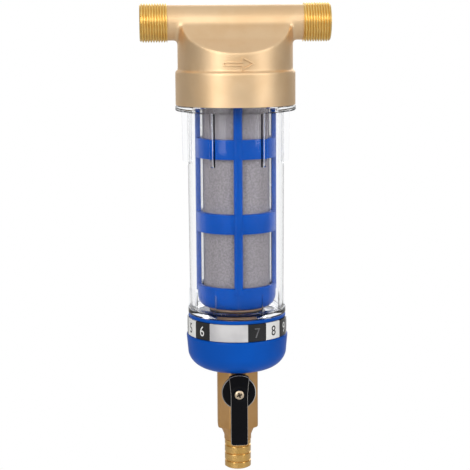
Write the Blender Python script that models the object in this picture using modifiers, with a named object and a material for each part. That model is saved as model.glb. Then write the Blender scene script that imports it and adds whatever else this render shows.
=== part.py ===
"""Whole-house water prefilter.

A brass head sits in the pipe and carries a clear bowl. Inside hangs a mesh element, and a cage
with four wiper blades turns around it, driven by the blue cup below the bowl. A ring with the
month numbers turns in a groove of that cup. A ball valve with a hose tail drains the dirt.

Frame: metres, +Z up. The origin is where the pipe's centreline (X, flow towards +X) meets the
filter's centreline (Z). The front, with the drain lever, faces -Y.
"""

import math

import bmesh
import bpy
from mathutils import Matrix, Vector

MM = 0.001

# Clearances
SEAT_GAP = 0.3 * MM  # between pieces that are clamped, screwed or pressed together
RUNNING_GAP = 0.4 * MM  # between pieces that turn past each other
FUSE = 1.0 * MM  # how far a joined shape reaches into its neighbour
OVERCUT = 1.0 * MM  # how far a cutter reaches past the face that it opens
WELD = 0.001 * MM

# Facets of the round pieces
FACETS = 32
SMALL_FACETS = 20
CORNER_STEPS = 3
RING_SECTION_FACETS = 6
SHARP = math.radians(35)

# Brass head
FACE_TO_FACE = 130 * MM
PIPE_RADIUS = 12 * MM
PIPE_WALL = 3 * MM
THREAD_STEP = 1.2 * MM  # the connection thread stands this proud of the pipe
THREAD_LENGTH = 18.7 * MM
THREAD_LEAD_IN = 1.2 * MM
ROOF_ANGLE = math.radians(29)
ROOF_DROP = 4.5 * MM  # where the roof meets the pipe, below the centreline
ROOF_WALL = 4 * MM
HEAD_DROP = 55.6 * MM
HEAD_WALL = 5.4 * MM
COLLAR_HEIGHT = 23.4 * MM
COLLAR_STEP = 1.7 * MM
COLLAR_EDGE = 1.2 * MM
CHAMBER_STEP = 2.8 * MM
SOCKET_INSET = 3.5 * MM
SOCKET_WALL = 4 * MM
SOCKET_LENGTH = 13.2 * MM
PORT_LAND = 0.7 * MM

# Mesh element
MESH_RADIUS = 23.1 * MM
MESH_THICKNESS = 0.5 * MM
CORE_WALL = 2.4 * MM
CORE_WINDOW_ROWS = 3
CORE_WINDOW_COLUMNS = 6
CORE_BRIDGE = 6 * MM
CORE_END_RING = 8 * MM
ELEMENT_FLANGE = 4 * MM
ELEMENT_PLUG_LENGTH = 11 * MM
ELEMENT_PLUG_WALL = 4.2 * MM
MESH_TUCK = 2 * MM
CAP_THICKNESS = 3.5 * MM
CAP_SPIGOT = 5 * MM
ELEMENT_SEAL_SECTION = 1.1 * MM
ELEMENT_SEAL_RISE = 7 * MM

# Wiper cage
BAND_THICKNESS = 3.8 * MM
BAND_HEIGHT = 13.4 * MM
WINDOW_HEIGHT = 37.5 * MM
WINDOW_ROWS = 3
TOP_RING_HEIGHT = 6.4 * MM
RIB_COUNT = 4
RIB_WIDTH = 5.7 * MM
RIB_STANDOFF = 1.1 * MM
RIB_PROUD = 0.9 * MM
CAGE_CUP_HEIGHT = 15.8 * MM
CAGE_CUP_FLOOR = 2.7 * MM
CAGE_CUP_WALL = 2.6 * MM
CAGE_CUP_CORNER = 6 * MM
CAGE_CUP_SLOPE = 9 * MM
BLADE_WIDTH = 2.4 * MM
BLADE_GROOVE = 1 * MM

# Clear bowl
CAGE_TO_BOWL = 1.4 * MM
BOWL_WALL = 3.1 * MM
BOWL_DRAFT = 0.7 * MM
NECK_WALL = 5.2 * MM
NECK_LENGTH = 24 * MM
FLANGE_STEP = 0.2 * MM
FLANGE_THICKNESS = 3.7 * MM
FLOOR_THICKNESS = 4 * MM
FLOOR_CORNER = 4 * MM
LOWER_FLANGE_STEP = 1.4 * MM
LOWER_FLANGE_THICKNESS = 4.2 * MM
LOWER_FLANGE_DROP = 1.3 * MM
FOOT_CLEARANCE = 0.8 * MM
UPPER_GUSSETS = 6
UPPER_GUSSET_THICKNESS = 2.6 * MM
UPPER_GUSSET_LENGTH = 37 * MM
UPPER_GUSSET_REACH = 3.8 * MM
UPPER_GUSSET_LEAN = 0.5 * MM
UPPER_GUSSET_CORNER = 3 * MM
LOWER_GUSSETS = 12
LOWER_GUSSET_THICKNESS = 1.6 * MM
LOWER_GUSSET_LENGTH = 12.8 * MM
BOWL_SEAL_SECTION = 1.2 * MM
BOWL_SEAL_DROP = 5 * MM

# Drain tube and its bushing
TUBE_RADIUS = 11 * MM
TUBE_BORE = 6.5 * MM
TUBE_FLANGE_STEP = 3 * MM
TUBE_FLANGE_THICKNESS = 2.5 * MM
TUBE_FLAT = 9.8 * MM  # from the centreline to each driving flat
TUBE_SEAL_SECTION = 0.8 * MM
TUBE_SEAL_DROPS = (4 * MM, 10 * MM)
CLIP_THICKNESS = 1.2 * MM
CLIP_DEPTH = 1.1 * MM
CLIP_STEP = 2 * MM
CLIP_OPENING = 9 * MM
BUSHING_WALL = 2.7 * MM
BUSHING_FLANGE_STEP = 5.6 * MM
BUSHING_FLANGE_THICKNESS = 2 * MM
BUSHING_TAIL = 9 * MM
GASKET_INSET = 0.5 * MM
GASKET_THICKNESS = 1 * MM
NUT_STEP = 3.6 * MM
NUT_THICKNESS = 5 * MM

# Blue cup, rim ring and month ring
CUP_NECK_STEP = 1.3 * MM
CUP_WALL = 2.6 * MM
RIM_HEIGHT = 2 * MM
MONTH_RING_HEIGHT = 12 * MM
MONTH_RING_THICKNESS = 1.4 * MM
RING_SEAT_STEP = 1.6 * MM  # the month ring's seat is this much wider than the cup's neck
RIM_STEP = 1 * MM
CUP_LIP = 0.7 * MM
CUP_LIP_EDGE = 0.5 * MM
CUP_HEIGHT = 25 * MM
CUP_FLOOR = 3.5 * MM
CUP_TAPER = 0.9 * MM
CUP_CORNER_WIDTH = 17 * MM
CUP_CORNER_HEIGHT = 14 * MM
HUB_WALL = 4.5 * MM
HUB_CLEARANCE = 1.5 * MM

# Drain ball valve
SPIGOT_LENGTH = 12 * MM
SPIGOT_WALL = 3.3 * MM
VALVE_LENGTH = 42.8 * MM
VALVE_WALL = 5.3 * MM
VALVE_EDGE = 1.1 * MM
STEM_DROP = 13.7 * MM
BALL_RADIUS = 8.6 * MM
BALL_BORE = 5 * MM
SEAT_OPENING = 1 * MM
NECK_TOP_RADIUS = 12.2 * MM
NECK_END_RADIUS = 9.6 * MM
NECK_TAPER = 6 * MM
NECK_TAIL = 9 * MM
BOSS_RADIUS = 7.5 * MM
BOSS_LENGTH = 2.2 * MM
STEM_RADIUS = 3.6 * MM
STEM_SQUARE = 4.6 * MM
TANG_WIDTH = 2.4 * MM
TANG_HEIGHT = 4 * MM
TANG_DEPTH = 2.2 * MM
STEM_SEAL_SECTION = 0.7 * MM

# Hose tail
TAIL_INSERT = 7.2 * MM
TAIL_INSERT_LENGTH = 8 * MM
TAIL_COLLAR = 3.6 * MM
BARB_RADIUS = 9.3 * MM
BARB_STEP = 0.7 * MM
BARB_LENGTH = 5.7 * MM
BARB_COUNT = 3
TAIL_NOSE = 1.2 * MM

# Lever
LEVER_DISC_RADIUS = 12 * MM
LEVER_DISC_THICKNESS = 2.6 * MM
LEVER_TOP_REACH = 13 * MM
LEVER_TOP_WIDTH = 14 * MM
LEVER_WIDTH = 11.8 * MM
LEVER_ARM = 36.5 * MM
LEVER_THICKNESS = 5.6 * MM
LEVER_CORNER = 1.8 * MM
LEVER_WEB = 1.8 * MM
SCREW_RADIUS = 3.3 * MM
SCREW_HEAD = 1.5 * MM
SCREW_SHANK = 1.6 * MM
SCREW_LENGTH = 7 * MM

# Radii, from the mesh outwards
CORE_RADIUS = MESH_RADIUS - MESH_THICKNESS - SEAT_GAP
CORE_INNER = CORE_RADIUS - CORE_WALL
BAND_INNER = MESH_RADIUS + RUNNING_GAP
BAND_OUTER = BAND_INNER + BAND_THICKNESS
RIB_INNER = BAND_INNER + RIB_STANDOFF
RIB_OUTER = BAND_OUTER + RIB_PROUD
BLADE_OUTER = RIB_INNER + BLADE_GROOVE - SEAT_GAP
BOWL_INNER_LOW = RIB_OUTER + CAGE_TO_BOWL
BOWL_INNER_TOP = BOWL_INNER_LOW + BOWL_DRAFT
BOWL_OUTER_LOW = BOWL_INNER_LOW + BOWL_WALL
BOWL_OUTER_TOP = BOWL_INNER_TOP + BOWL_WALL
NECK_RADIUS = BOWL_INNER_TOP + NECK_WALL
HEAD_BORE = NECK_RADIUS + SEAT_GAP
CHAMBER_RADIUS = HEAD_BORE - CHAMBER_STEP
COLLAR_RADIUS = HEAD_BORE + HEAD_WALL
BODY_RADIUS = COLLAR_RADIUS - COLLAR_STEP
FLANGE_RADIUS = COLLAR_RADIUS + FLANGE_STEP
LOWER_FLANGE_RADIUS = BOWL_OUTER_LOW + LOWER_FLANGE_STEP
CUP_NECK_RADIUS = BOWL_OUTER_LOW - CUP_NECK_STEP
CUP_NECK_INNER = CUP_NECK_RADIUS - CUP_WALL
FOOT_RADIUS = CUP_NECK_INNER - FOOT_CLEARANCE
RING_SEAT_RADIUS = CUP_NECK_RADIUS + RING_SEAT_STEP
RIM_RADIUS = RING_SEAT_RADIUS + RIM_STEP
MONTH_RING_INNER = RING_SEAT_RADIUS + RUNNING_GAP
MONTH_RING_OUTER = MONTH_RING_INNER + MONTH_RING_THICKNESS
CUP_RADIUS = MONTH_RING_OUTER + CUP_LIP
SOCKET_OUTER = MESH_RADIUS - SOCKET_INSET
SOCKET_BORE = SOCKET_OUTER - SOCKET_WALL
PLUG_RADIUS = SOCKET_BORE - SEAT_GAP
PLUG_BORE = PLUG_RADIUS - ELEMENT_PLUG_WALL
THREAD_RADIUS = PIPE_RADIUS + THREAD_STEP
PIPE_BORE = PIPE_RADIUS - PIPE_WALL
INLET_PORT_X = -(CHAMBER_RADIUS + SOCKET_OUTER) / 2
INLET_PORT_RADIUS = (CHAMBER_RADIUS - SOCKET_OUTER) / 2 - PORT_LAND
OUTLET_PORT_RADIUS = PIPE_BORE - PORT_LAND
BUSHING_BORE = TUBE_RADIUS + SEAT_GAP
BUSHING_RADIUS = BUSHING_BORE + BUSHING_WALL
BUSHING_FLANGE = BUSHING_RADIUS + BUSHING_FLANGE_STEP
SPIGOT_RADIUS = BALL_BORE + SPIGOT_WALL
VALVE_CAVITY = BALL_RADIUS + SEAT_GAP
VALVE_HALF = VALVE_CAVITY + VALVE_WALL
SEAT_RADIUS = VALVE_CAVITY - SEAT_GAP

# Heights, from the pipe down
CEILING_Z = (
    -ROOF_DROP
    - (CHAMBER_RADIUS - PIPE_RADIUS) * math.tan(ROOF_ANGLE)
    - ROOF_WALL / math.cos(ROOF_ANGLE)
)
HEAD_BOTTOM_Z = -HEAD_DROP
COLLAR_TOP_Z = HEAD_BOTTOM_Z + COLLAR_HEIGHT
NECK_TOP_Z = HEAD_BOTTOM_Z + NECK_LENGTH
BORE_TOP_Z = NECK_TOP_Z + SEAT_GAP
FLANGE_TOP_Z = HEAD_BOTTOM_Z - SEAT_GAP
FLANGE_BOTTOM_Z = FLANGE_TOP_Z - FLANGE_THICKNESS
SOCKET_END_Z = CEILING_Z - SOCKET_LENGTH
ELEMENT_TOP_Z = SOCKET_END_Z - SEAT_GAP
MESH_TOP_Z = ELEMENT_TOP_Z - ELEMENT_FLANGE - SEAT_GAP
FIRST_WINDOW_Z = ELEMENT_TOP_Z - TOP_RING_HEIGHT
ROW_PITCH = WINDOW_HEIGHT + BAND_HEIGHT
CAGE_CUP_Z = FIRST_WINDOW_Z - WINDOW_ROWS * ROW_PITCH + BAND_HEIGHT
CAGE_END_Z = CAGE_CUP_Z - CAGE_CUP_HEIGHT
CAGE_FLOOR_Z = CAGE_END_Z + CAGE_CUP_FLOOR
MESH_END_Z = CAGE_CUP_Z - MESH_TUCK
CAP_TOP_Z = MESH_END_Z - SEAT_GAP
BUSHING_TOP_Z = CAGE_END_Z - RUNNING_GAP
GASKET_TOP_Z = BUSHING_TOP_Z - BUSHING_FLANGE_THICKNESS - SEAT_GAP
FLOOR_TOP_Z = GASKET_TOP_Z - GASKET_THICKNESS - SEAT_GAP
FLOOR_BOTTOM_Z = FLOOR_TOP_Z - FLOOR_THICKNESS
LOWER_FLANGE_BOTTOM_Z = FLOOR_TOP_Z - LOWER_FLANGE_DROP
LOWER_FLANGE_TOP_Z = LOWER_FLANGE_BOTTOM_Z + LOWER_FLANGE_THICKNESS
CUP_NECK_TOP_Z = LOWER_FLANGE_BOTTOM_Z - RUNNING_GAP
RIM_BOTTOM_Z = CUP_NECK_TOP_Z - RIM_HEIGHT
MONTH_RING_TOP_Z = RIM_BOTTOM_Z - SEAT_GAP
MONTH_RING_BOTTOM_Z = MONTH_RING_TOP_Z - MONTH_RING_HEIGHT
CUP_TOP_Z = MONTH_RING_BOTTOM_Z - SEAT_GAP
CUP_BOTTOM_Z = CUP_TOP_Z - CUP_HEIGHT
NUT_TOP_Z = FLOOR_BOTTOM_Z - SEAT_GAP
BUSHING_END_Z = FLOOR_BOTTOM_Z - BUSHING_TAIL
CLIP_TOP_Z = BUSHING_END_Z - SEAT_GAP
CLIP_BOTTOM_Z = CLIP_TOP_Z - CLIP_THICKNESS
HUB_TOP_Z = CLIP_BOTTOM_Z - HUB_CLEARANCE
TUBE_TOP_Z = CAGE_FLOOR_Z + SEAT_GAP + TUBE_FLANGE_THICKNESS
TUBE_END_Z = CUP_BOTTOM_Z
VALVE_TOP_Z = CUP_BOTTOM_Z - SEAT_GAP
VALVE_BOTTOM_Z = VALVE_TOP_Z - VALVE_LENGTH
STEM_Z = VALVE_TOP_Z - STEM_DROP
SPIGOT_TOP_Z = VALVE_TOP_Z + SPIGOT_LENGTH
CAVITY_BOTTOM_Z = STEM_Z - VALVE_CAVITY
NECK_END_Z = VALVE_BOTTOM_Z - NECK_TAIL
TAIL_TOP_Z = NECK_END_Z + TAIL_INSERT_LENGTH
BARB_TOP_Z = NECK_END_Z - SEAT_GAP

# Depths in front of the valve's centreline
BOSS_FACE = VALVE_HALF + BOSS_LENGTH
DISC_BACK = BOSS_FACE + RUNNING_GAP
DISC_FRONT = DISC_BACK + LEVER_DISC_THICKNESS
LEVER_FRONT = DISC_FRONT + LEVER_THICKNESS
STEM_FRONT = LEVER_FRONT - LEVER_WEB - SEAT_GAP
SCREW_BACK = LEVER_FRONT + SEAT_GAP

# How a flat outline's own axes lie in space
UPRIGHT = (math.pi / 2, 0, 0)  # outline in X and Z
CROSSWISE = (math.pi / 2, 0, math.pi / 2)  # outline in Y and Z
LEVEL = (0, 0, 0)  # outline in X and Y


def new_collection(name):
    collection = bpy.data.collections.new(name)
    bpy.context.scene.collection.children.link(collection)
    return collection


def move_to(obj, collection):
    for holder in list(obj.users_collection):
        holder.objects.unlink(obj)
    collection.objects.link(obj)


def finish(name, colour, roughness, metallic=0.0, transmission=0.0):
    made = bpy.data.materials.new(name)
    made.use_nodes = True
    shader = made.node_tree.nodes["Principled BSDF"]
    shader.inputs["Base Color"].default_value = (*colour, 1.0)
    shader.inputs["Roughness"].default_value = roughness
    shader.inputs["Metallic"].default_value = metallic
    shader.inputs["Transmission Weight"].default_value = transmission
    return made


def in_scene(name, mesh):
    obj = bpy.data.objects.new(name, mesh)
    bpy.context.scene.collection.objects.link(obj)
    return obj


def smooth(obj):
    obj.data.shade_smooth()
    obj.data.set_sharp_from_angle(angle=SHARP)
    return obj


def baked(source, name):
    """A mesh object with the shape that a curve or a modifier gives, its loose caps welded."""
    bpy.context.view_layer.update()
    graph = bpy.context.evaluated_depsgraph_get()
    mesh = bpy.data.meshes.new_from_object(source.evaluated_get(graph))
    welded = bmesh.new()
    welded.from_mesh(mesh)
    bmesh.ops.remove_doubles(welded, verts=welded.verts, dist=WELD)
    welded.to_mesh(mesh)
    welded.free()
    made = in_scene(name, mesh)
    made.matrix_world = source.matrix_world.copy()
    bpy.data.objects.remove(source, do_unlink=True)
    return smooth(made)


def turned(name, profile, facets=FACETS, closed=True):
    """A turned shape from (radius, height) points that run down its outer side."""
    mesh = bpy.data.meshes.new(name)
    edges = [(i, i + 1) for i in range(len(profile) - 1)]
    if closed:
        edges.append((len(profile) - 1, 0))
    mesh.from_pydata([(radius, 0, height) for radius, height in profile], edges, [])
    outline = in_scene(f"{name} outline", mesh)
    screw = outline.modifiers.new("turn", "SCREW")
    screw.axis = "Z"
    screw.angle = math.tau
    screw.steps = facets
    screw.render_steps = facets
    screw.use_merge_vertices = True
    screw.merge_threshold = WELD
    return baked(outline, name)


def tube(name, inner, outer, top, bottom, facets=FACETS):
    return turned(name, [(inner, top), (outer, top), (outer, bottom), (inner, bottom)], facets)


def bar(name, radius, start, end, facets=SMALL_FACETS):
    """A round bar between two points."""
    start, end = Vector(start), Vector(end)
    along = end - start
    bpy.ops.mesh.primitive_cylinder_add(
        vertices=facets,
        radius=radius,
        depth=along.length,
        location=(start + end) / 2,
        rotation=along.to_track_quat("Z", "Y").to_euler(),
    )
    made = bpy.context.object
    made.name = name
    return smooth(made)


def block(name, low, high):
    """A box from its lowest to its highest corner."""
    low, high = Vector(low), Vector(high)
    bpy.ops.mesh.primitive_cube_add(size=1, location=(low + high) / 2)
    made = bpy.context.object
    made.name = name
    made.scale = high - low
    bpy.ops.object.transform_apply(location=False, rotation=False, scale=True)
    return made


def plate(name, outline, thickness, centre=(0, 0, 0), turn=UPRIGHT):
    """A flat outline with a thickness, centred on its own plane."""
    curve = bpy.data.curves.new(name, "CURVE")
    curve.dimensions = "2D"
    curve.fill_mode = "BOTH"
    curve.extrude = thickness / 2
    spline = curve.splines.new("POLY")
    spline.points.add(len(outline) - 1)
    for point, (across, up) in zip(spline.points, outline):
        point.co = (across, up, 0, 1)
    spline.use_cyclic_u = True
    flat = bpy.data.objects.new(f"{name} outline", curve)
    bpy.context.scene.collection.objects.link(flat)
    flat.location = centre
    flat.rotation_euler = turn
    return baked(flat, name)


def o_ring(name, radius, section, height, turn=LEVEL, centre=None, facets=SMALL_FACETS):
    bpy.ops.mesh.primitive_torus_add(
        major_radius=radius,
        minor_radius=section,
        major_segments=facets,
        minor_segments=RING_SECTION_FACETS,
        location=centre or (0, 0, height),
        rotation=turn,
    )
    made = bpy.context.object
    made.name = name
    return smooth(made)


def arc(centre_x, centre_y, width, height, start, end, steps=CORNER_STEPS):
    """Points on a quarter or part of an ellipse, from one angle to another, in degrees."""
    angles = [math.radians(start + (end - start) * i / steps) for i in range(steps + 1)]
    return [(centre_x + width * math.cos(a), centre_y + height * math.sin(a)) for a in angles]


def flatted(radius, flat):
    """A round outline with two flats, left and right."""
    corner = math.degrees(math.acos(flat / radius))
    steps = SMALL_FACETS // 2
    return [
        *arc(0, 0, radius, radius, corner, 180 - corner, steps),
        *arc(0, 0, radius, radius, 180 + corner, 360 - corner, steps),
    ]


def spread(source, count, first_angle=0.0):
    """One helper made of copies of a shape, turned about the filter's centreline."""
    built = bmesh.new()
    for i in range(count):
        start = len(built.verts)
        built.from_mesh(source.data)
        built.verts.ensure_lookup_table()
        turn = Matrix.Rotation(first_angle + math.tau * i / count, 4, "Z")
        bmesh.ops.transform(
            built, matrix=turn @ source.matrix_world, verts=built.verts[start:]
        )
    mesh = bpy.data.meshes.new(source.name)
    built.to_mesh(mesh)
    built.free()
    made = in_scene(f"{source.name} set", mesh)
    bpy.data.objects.remove(source, do_unlink=True)
    return made


def combine(target, helper, operation):
    move_to(helper, CUTTERS)
    helper.hide_render = True
    helper.display_type = "WIRE"
    step = target.modifiers.new(f"{operation.lower()} {helper.name}", "BOOLEAN")
    step.operation = operation
    step.object = helper
    step.solver = "EXACT"
    # The solver can leave two points where three faces meet, which the next step can't take
    weld = target.modifiers.new(f"weld {helper.name}", "WELD")
    weld.merge_threshold = WELD


def join(target, *helpers):
    for helper in helpers:
        combine(target, helper, "UNION")


def cut(target, *helpers):
    for helper in helpers:
        combine(target, helper, "DIFFERENCE")


def keep_inside(target, helper):
    combine(target, helper, "INTERSECT")


def place(obj, material, parent=None):
    """Puts a finished piece in the filter's collection, on the axis that it turns about."""
    obj.data.name = obj.name
    obj.data.materials.clear()
    obj.data.materials.append(material)
    move_to(obj, PARTS)
    if parent:
        obj.parent = parent
        obj.matrix_parent_inverse = parent.matrix_world.inverted()
    return obj


def axis_empty(name, location):
    empty = bpy.data.objects.new(name, None)
    empty.location = location
    PARTS.objects.link(empty)
    bpy.context.view_layer.update()
    return empty


def o_ring_groove(outside, section, centre):
    """A groove in a turned profile's outer side, for an O-ring that ends flush with it."""
    floor = outside - 2 * section - SEAT_GAP
    half = section + SEAT_GAP
    return [
        (outside, centre + half),
        (floor, centre + half),
        (floor, centre - half),
        (outside, centre - half),
    ]


def make_head():
    """Cup with a sloped roof, pipe run, chamber for the bowl's neck, socket and ports."""
    head = turned(
        "head_casting",
        [
            (0, 0),
            (BODY_RADIUS, 0),
            (BODY_RADIUS, COLLAR_TOP_Z),
            (COLLAR_RADIUS - COLLAR_EDGE, COLLAR_TOP_Z),
            (COLLAR_RADIUS, COLLAR_TOP_Z - COLLAR_EDGE),
            (COLLAR_RADIUS, HEAD_BOTTOM_Z),
            (HEAD_BORE, HEAD_BOTTOM_Z),
            (HEAD_BORE, BORE_TOP_Z),
            (CHAMBER_RADIUS, BORE_TOP_Z),
            (CHAMBER_RADIUS, CEILING_Z),
            (SOCKET_OUTER, CEILING_Z),
            (SOCKET_OUTER, SOCKET_END_Z),
            (SOCKET_BORE, SOCKET_END_Z),
            (SOCKET_BORE, CEILING_Z),
            (0, CEILING_Z),
        ],
        closed=False,
    )
    side = COLLAR_RADIUS + OVERCUT
    eave = -ROOF_DROP - (side - PIPE_RADIUS) * math.tan(ROOF_ANGLE)
    below = HEAD_BOTTOM_Z - OVERCUT
    roof = [
        (side, below),
        (side, eave),
        (PIPE_RADIUS, -ROOF_DROP),
        (-PIPE_RADIUS, -ROOF_DROP),
        (-side, eave),
        (-side, below),
    ]
    keep_inside(head, plate("roof", roof, 2 * side, turn=CROSSWISE))

    end = FACE_TO_FACE / 2
    shoulder = end - THREAD_LENGTH
    run = turned(
        "pipe run",
        [
            (0, end),
            (THREAD_RADIUS - THREAD_LEAD_IN, end),
            (THREAD_RADIUS, end - THREAD_LEAD_IN),
            (THREAD_RADIUS, shoulder),
            (PIPE_RADIUS, shoulder),
            (PIPE_RADIUS, -shoulder),
            (THREAD_RADIUS, -shoulder),
            (THREAD_RADIUS, -end + THREAD_LEAD_IN),
            (THREAD_RADIUS - THREAD_LEAD_IN, -end),
            (0, -end),
        ],
        facets=SMALL_FACETS,
        closed=False,
    )
    run.rotation_euler = (0, math.pi / 2, 0)
    join(head, run)

    past = end + OVERCUT
    port_end = CEILING_Z - OVERCUT
    port_reach = INLET_PORT_RADIUS + PORT_LAND
    cut(
        head,
        bar("inlet bore", PIPE_BORE, (-past, 0, 0), (INLET_PORT_X + port_reach, 0, 0)),
        bar("inlet port", INLET_PORT_RADIUS, (INLET_PORT_X, 0, 0), (INLET_PORT_X, 0, port_end)),
        bar("outlet bore", PIPE_BORE, (-OUTLET_PORT_RADIUS - PORT_LAND, 0, 0), (past, 0, 0)),
        bar("outlet port", OUTLET_PORT_RADIUS, (0, 0, 0), (0, 0, port_end)),
    )
    place(head, BRASS)


def make_bowl():
    """Clear bowl: a tapered wall with flanges, gussets, an O-ring groove and a holed floor."""
    hole = BUSHING_RADIUS + SEAT_GAP
    corner = BOWL_INNER_LOW - FLOOR_CORNER
    bowl = turned(
        "bowl",
        [
            (BOWL_INNER_TOP, NECK_TOP_Z),
            (NECK_RADIUS, NECK_TOP_Z),
            *o_ring_groove(NECK_RADIUS, BOWL_SEAL_SECTION, NECK_TOP_Z - BOWL_SEAL_DROP),
            (NECK_RADIUS, FLANGE_TOP_Z),
            (FLANGE_RADIUS, FLANGE_TOP_Z),
            (FLANGE_RADIUS, FLANGE_BOTTOM_Z),
            (BOWL_OUTER_TOP, FLANGE_BOTTOM_Z),
            (BOWL_OUTER_LOW, LOWER_FLANGE_TOP_Z),
            (LOWER_FLANGE_RADIUS, LOWER_FLANGE_TOP_Z),
            (LOWER_FLANGE_RADIUS, LOWER_FLANGE_BOTTOM_Z),
            (FOOT_RADIUS, LOWER_FLANGE_BOTTOM_Z),
            (FOOT_RADIUS, FLOOR_BOTTOM_Z),
            (hole, FLOOR_BOTTOM_Z),
            (hole, FLOOR_TOP_Z),
            *arc(corner, FLOOR_TOP_Z + FLOOR_CORNER, FLOOR_CORNER, FLOOR_CORNER, -90, 0),
        ],
    )
    # The gussets start inside the wall, at half its thickness
    root = BOWL_INNER_TOP + BOWL_WALL / 2
    top = FLANGE_BOTTOM_Z + FUSE
    low = FLANGE_BOTTOM_Z - UPPER_GUSSET_LENGTH
    reach = BOWL_OUTER_TOP + UPPER_GUSSET_REACH
    corner = UPPER_GUSSET_CORNER
    centre = reach - UPPER_GUSSET_LEAN - corner
    outline = [(root, low), (root, top), (reach, top)] + arc(centre, low + corner, corner, corner, 0, -90)
    upper = spread(plate("upper gusset", outline, UPPER_GUSSET_THICKNESS), UPPER_GUSSETS)

    root = BOWL_INNER_LOW + BOWL_WALL / 2
    top = LOWER_FLANGE_TOP_Z + LOWER_GUSSET_LENGTH
    outline = [
        (root, LOWER_FLANGE_TOP_Z - FUSE),
        (root, top),
        (BOWL_OUTER_LOW + SEAT_GAP, top),
        (LOWER_FLANGE_RADIUS - SEAT_GAP, LOWER_FLANGE_TOP_Z - FUSE),
    ]
    lower = spread(plate("lower gusset", outline, LOWER_GUSSET_THICKNESS), LOWER_GUSSETS)
    join(bowl, upper, lower)
    place(bowl, CLEAR)
    seal = o_ring(
        "bowl_seal",
        NECK_RADIUS - BOWL_SEAL_SECTION,
        BOWL_SEAL_SECTION,
        NECK_TOP_Z - BOWL_SEAL_DROP,
        facets=FACETS,
    )
    place(seal, RUBBER)


def make_element():
    """The mesh sleeve on its perforated core, with a plug at the top and a cap below."""
    top = ELEMENT_TOP_Z - ELEMENT_FLANGE
    seal_z = ELEMENT_TOP_Z + ELEMENT_SEAL_RISE
    core = turned(
        "mesh_core",
        [
            (PLUG_BORE, ELEMENT_TOP_Z + ELEMENT_PLUG_LENGTH),
            (PLUG_RADIUS, ELEMENT_TOP_Z + ELEMENT_PLUG_LENGTH),
            *o_ring_groove(PLUG_RADIUS, ELEMENT_SEAL_SECTION, seal_z),
            (PLUG_RADIUS, ELEMENT_TOP_Z),
            (MESH_RADIUS, ELEMENT_TOP_Z),
            (MESH_RADIUS, top),
            (CORE_RADIUS, top),
            (CORE_RADIUS, MESH_END_Z),
            (CORE_INNER, MESH_END_Z),
            (CORE_INNER, top),
            (PLUG_BORE, ELEMENT_TOP_Z),
        ],
        facets=SMALL_FACETS,
    )
    first = top - CORE_END_RING
    last = MESH_END_Z + CORE_END_RING
    pitch = (first - last + CORE_BRIDGE) / CORE_WINDOW_ROWS
    width = math.tau * CORE_INNER / CORE_WINDOW_COLUMNS - CORE_BRIDGE
    for row in range(CORE_WINDOW_ROWS):
        high = first - row * pitch
        low = high - pitch + CORE_BRIDGE
        window = block(
            f"core window {row + 1}",
            (CORE_INNER - CORE_WALL, -width / 2, low),
            (CORE_RADIUS + OVERCUT, width / 2, high),
        )
        cut(core, spread(window, CORE_WINDOW_COLUMNS))
    place(core, WHITE_PLASTIC)
    place(
        tube("mesh_sleeve", MESH_RADIUS - MESH_THICKNESS, MESH_RADIUS, MESH_TOP_Z, MESH_END_Z), STEEL
    )
    plug = CORE_INNER - SEAT_GAP
    cap = turned(
        "element_cap",
        [
            (0, CAP_TOP_Z + CAP_SPIGOT),
            (plug, CAP_TOP_Z + CAP_SPIGOT),
            (plug, CAP_TOP_Z),
            (MESH_RADIUS, CAP_TOP_Z),
            (MESH_RADIUS, CAP_TOP_Z - CAP_THICKNESS),
            (0, CAP_TOP_Z - CAP_THICKNESS),
        ],
        closed=False,
    )
    place(cap, WHITE_PLASTIC)
    seal_radius = PLUG_RADIUS - ELEMENT_SEAL_SECTION
    place(o_ring("element_seal", seal_radius, ELEMENT_SEAL_SECTION, seal_z), RUBBER)


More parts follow.
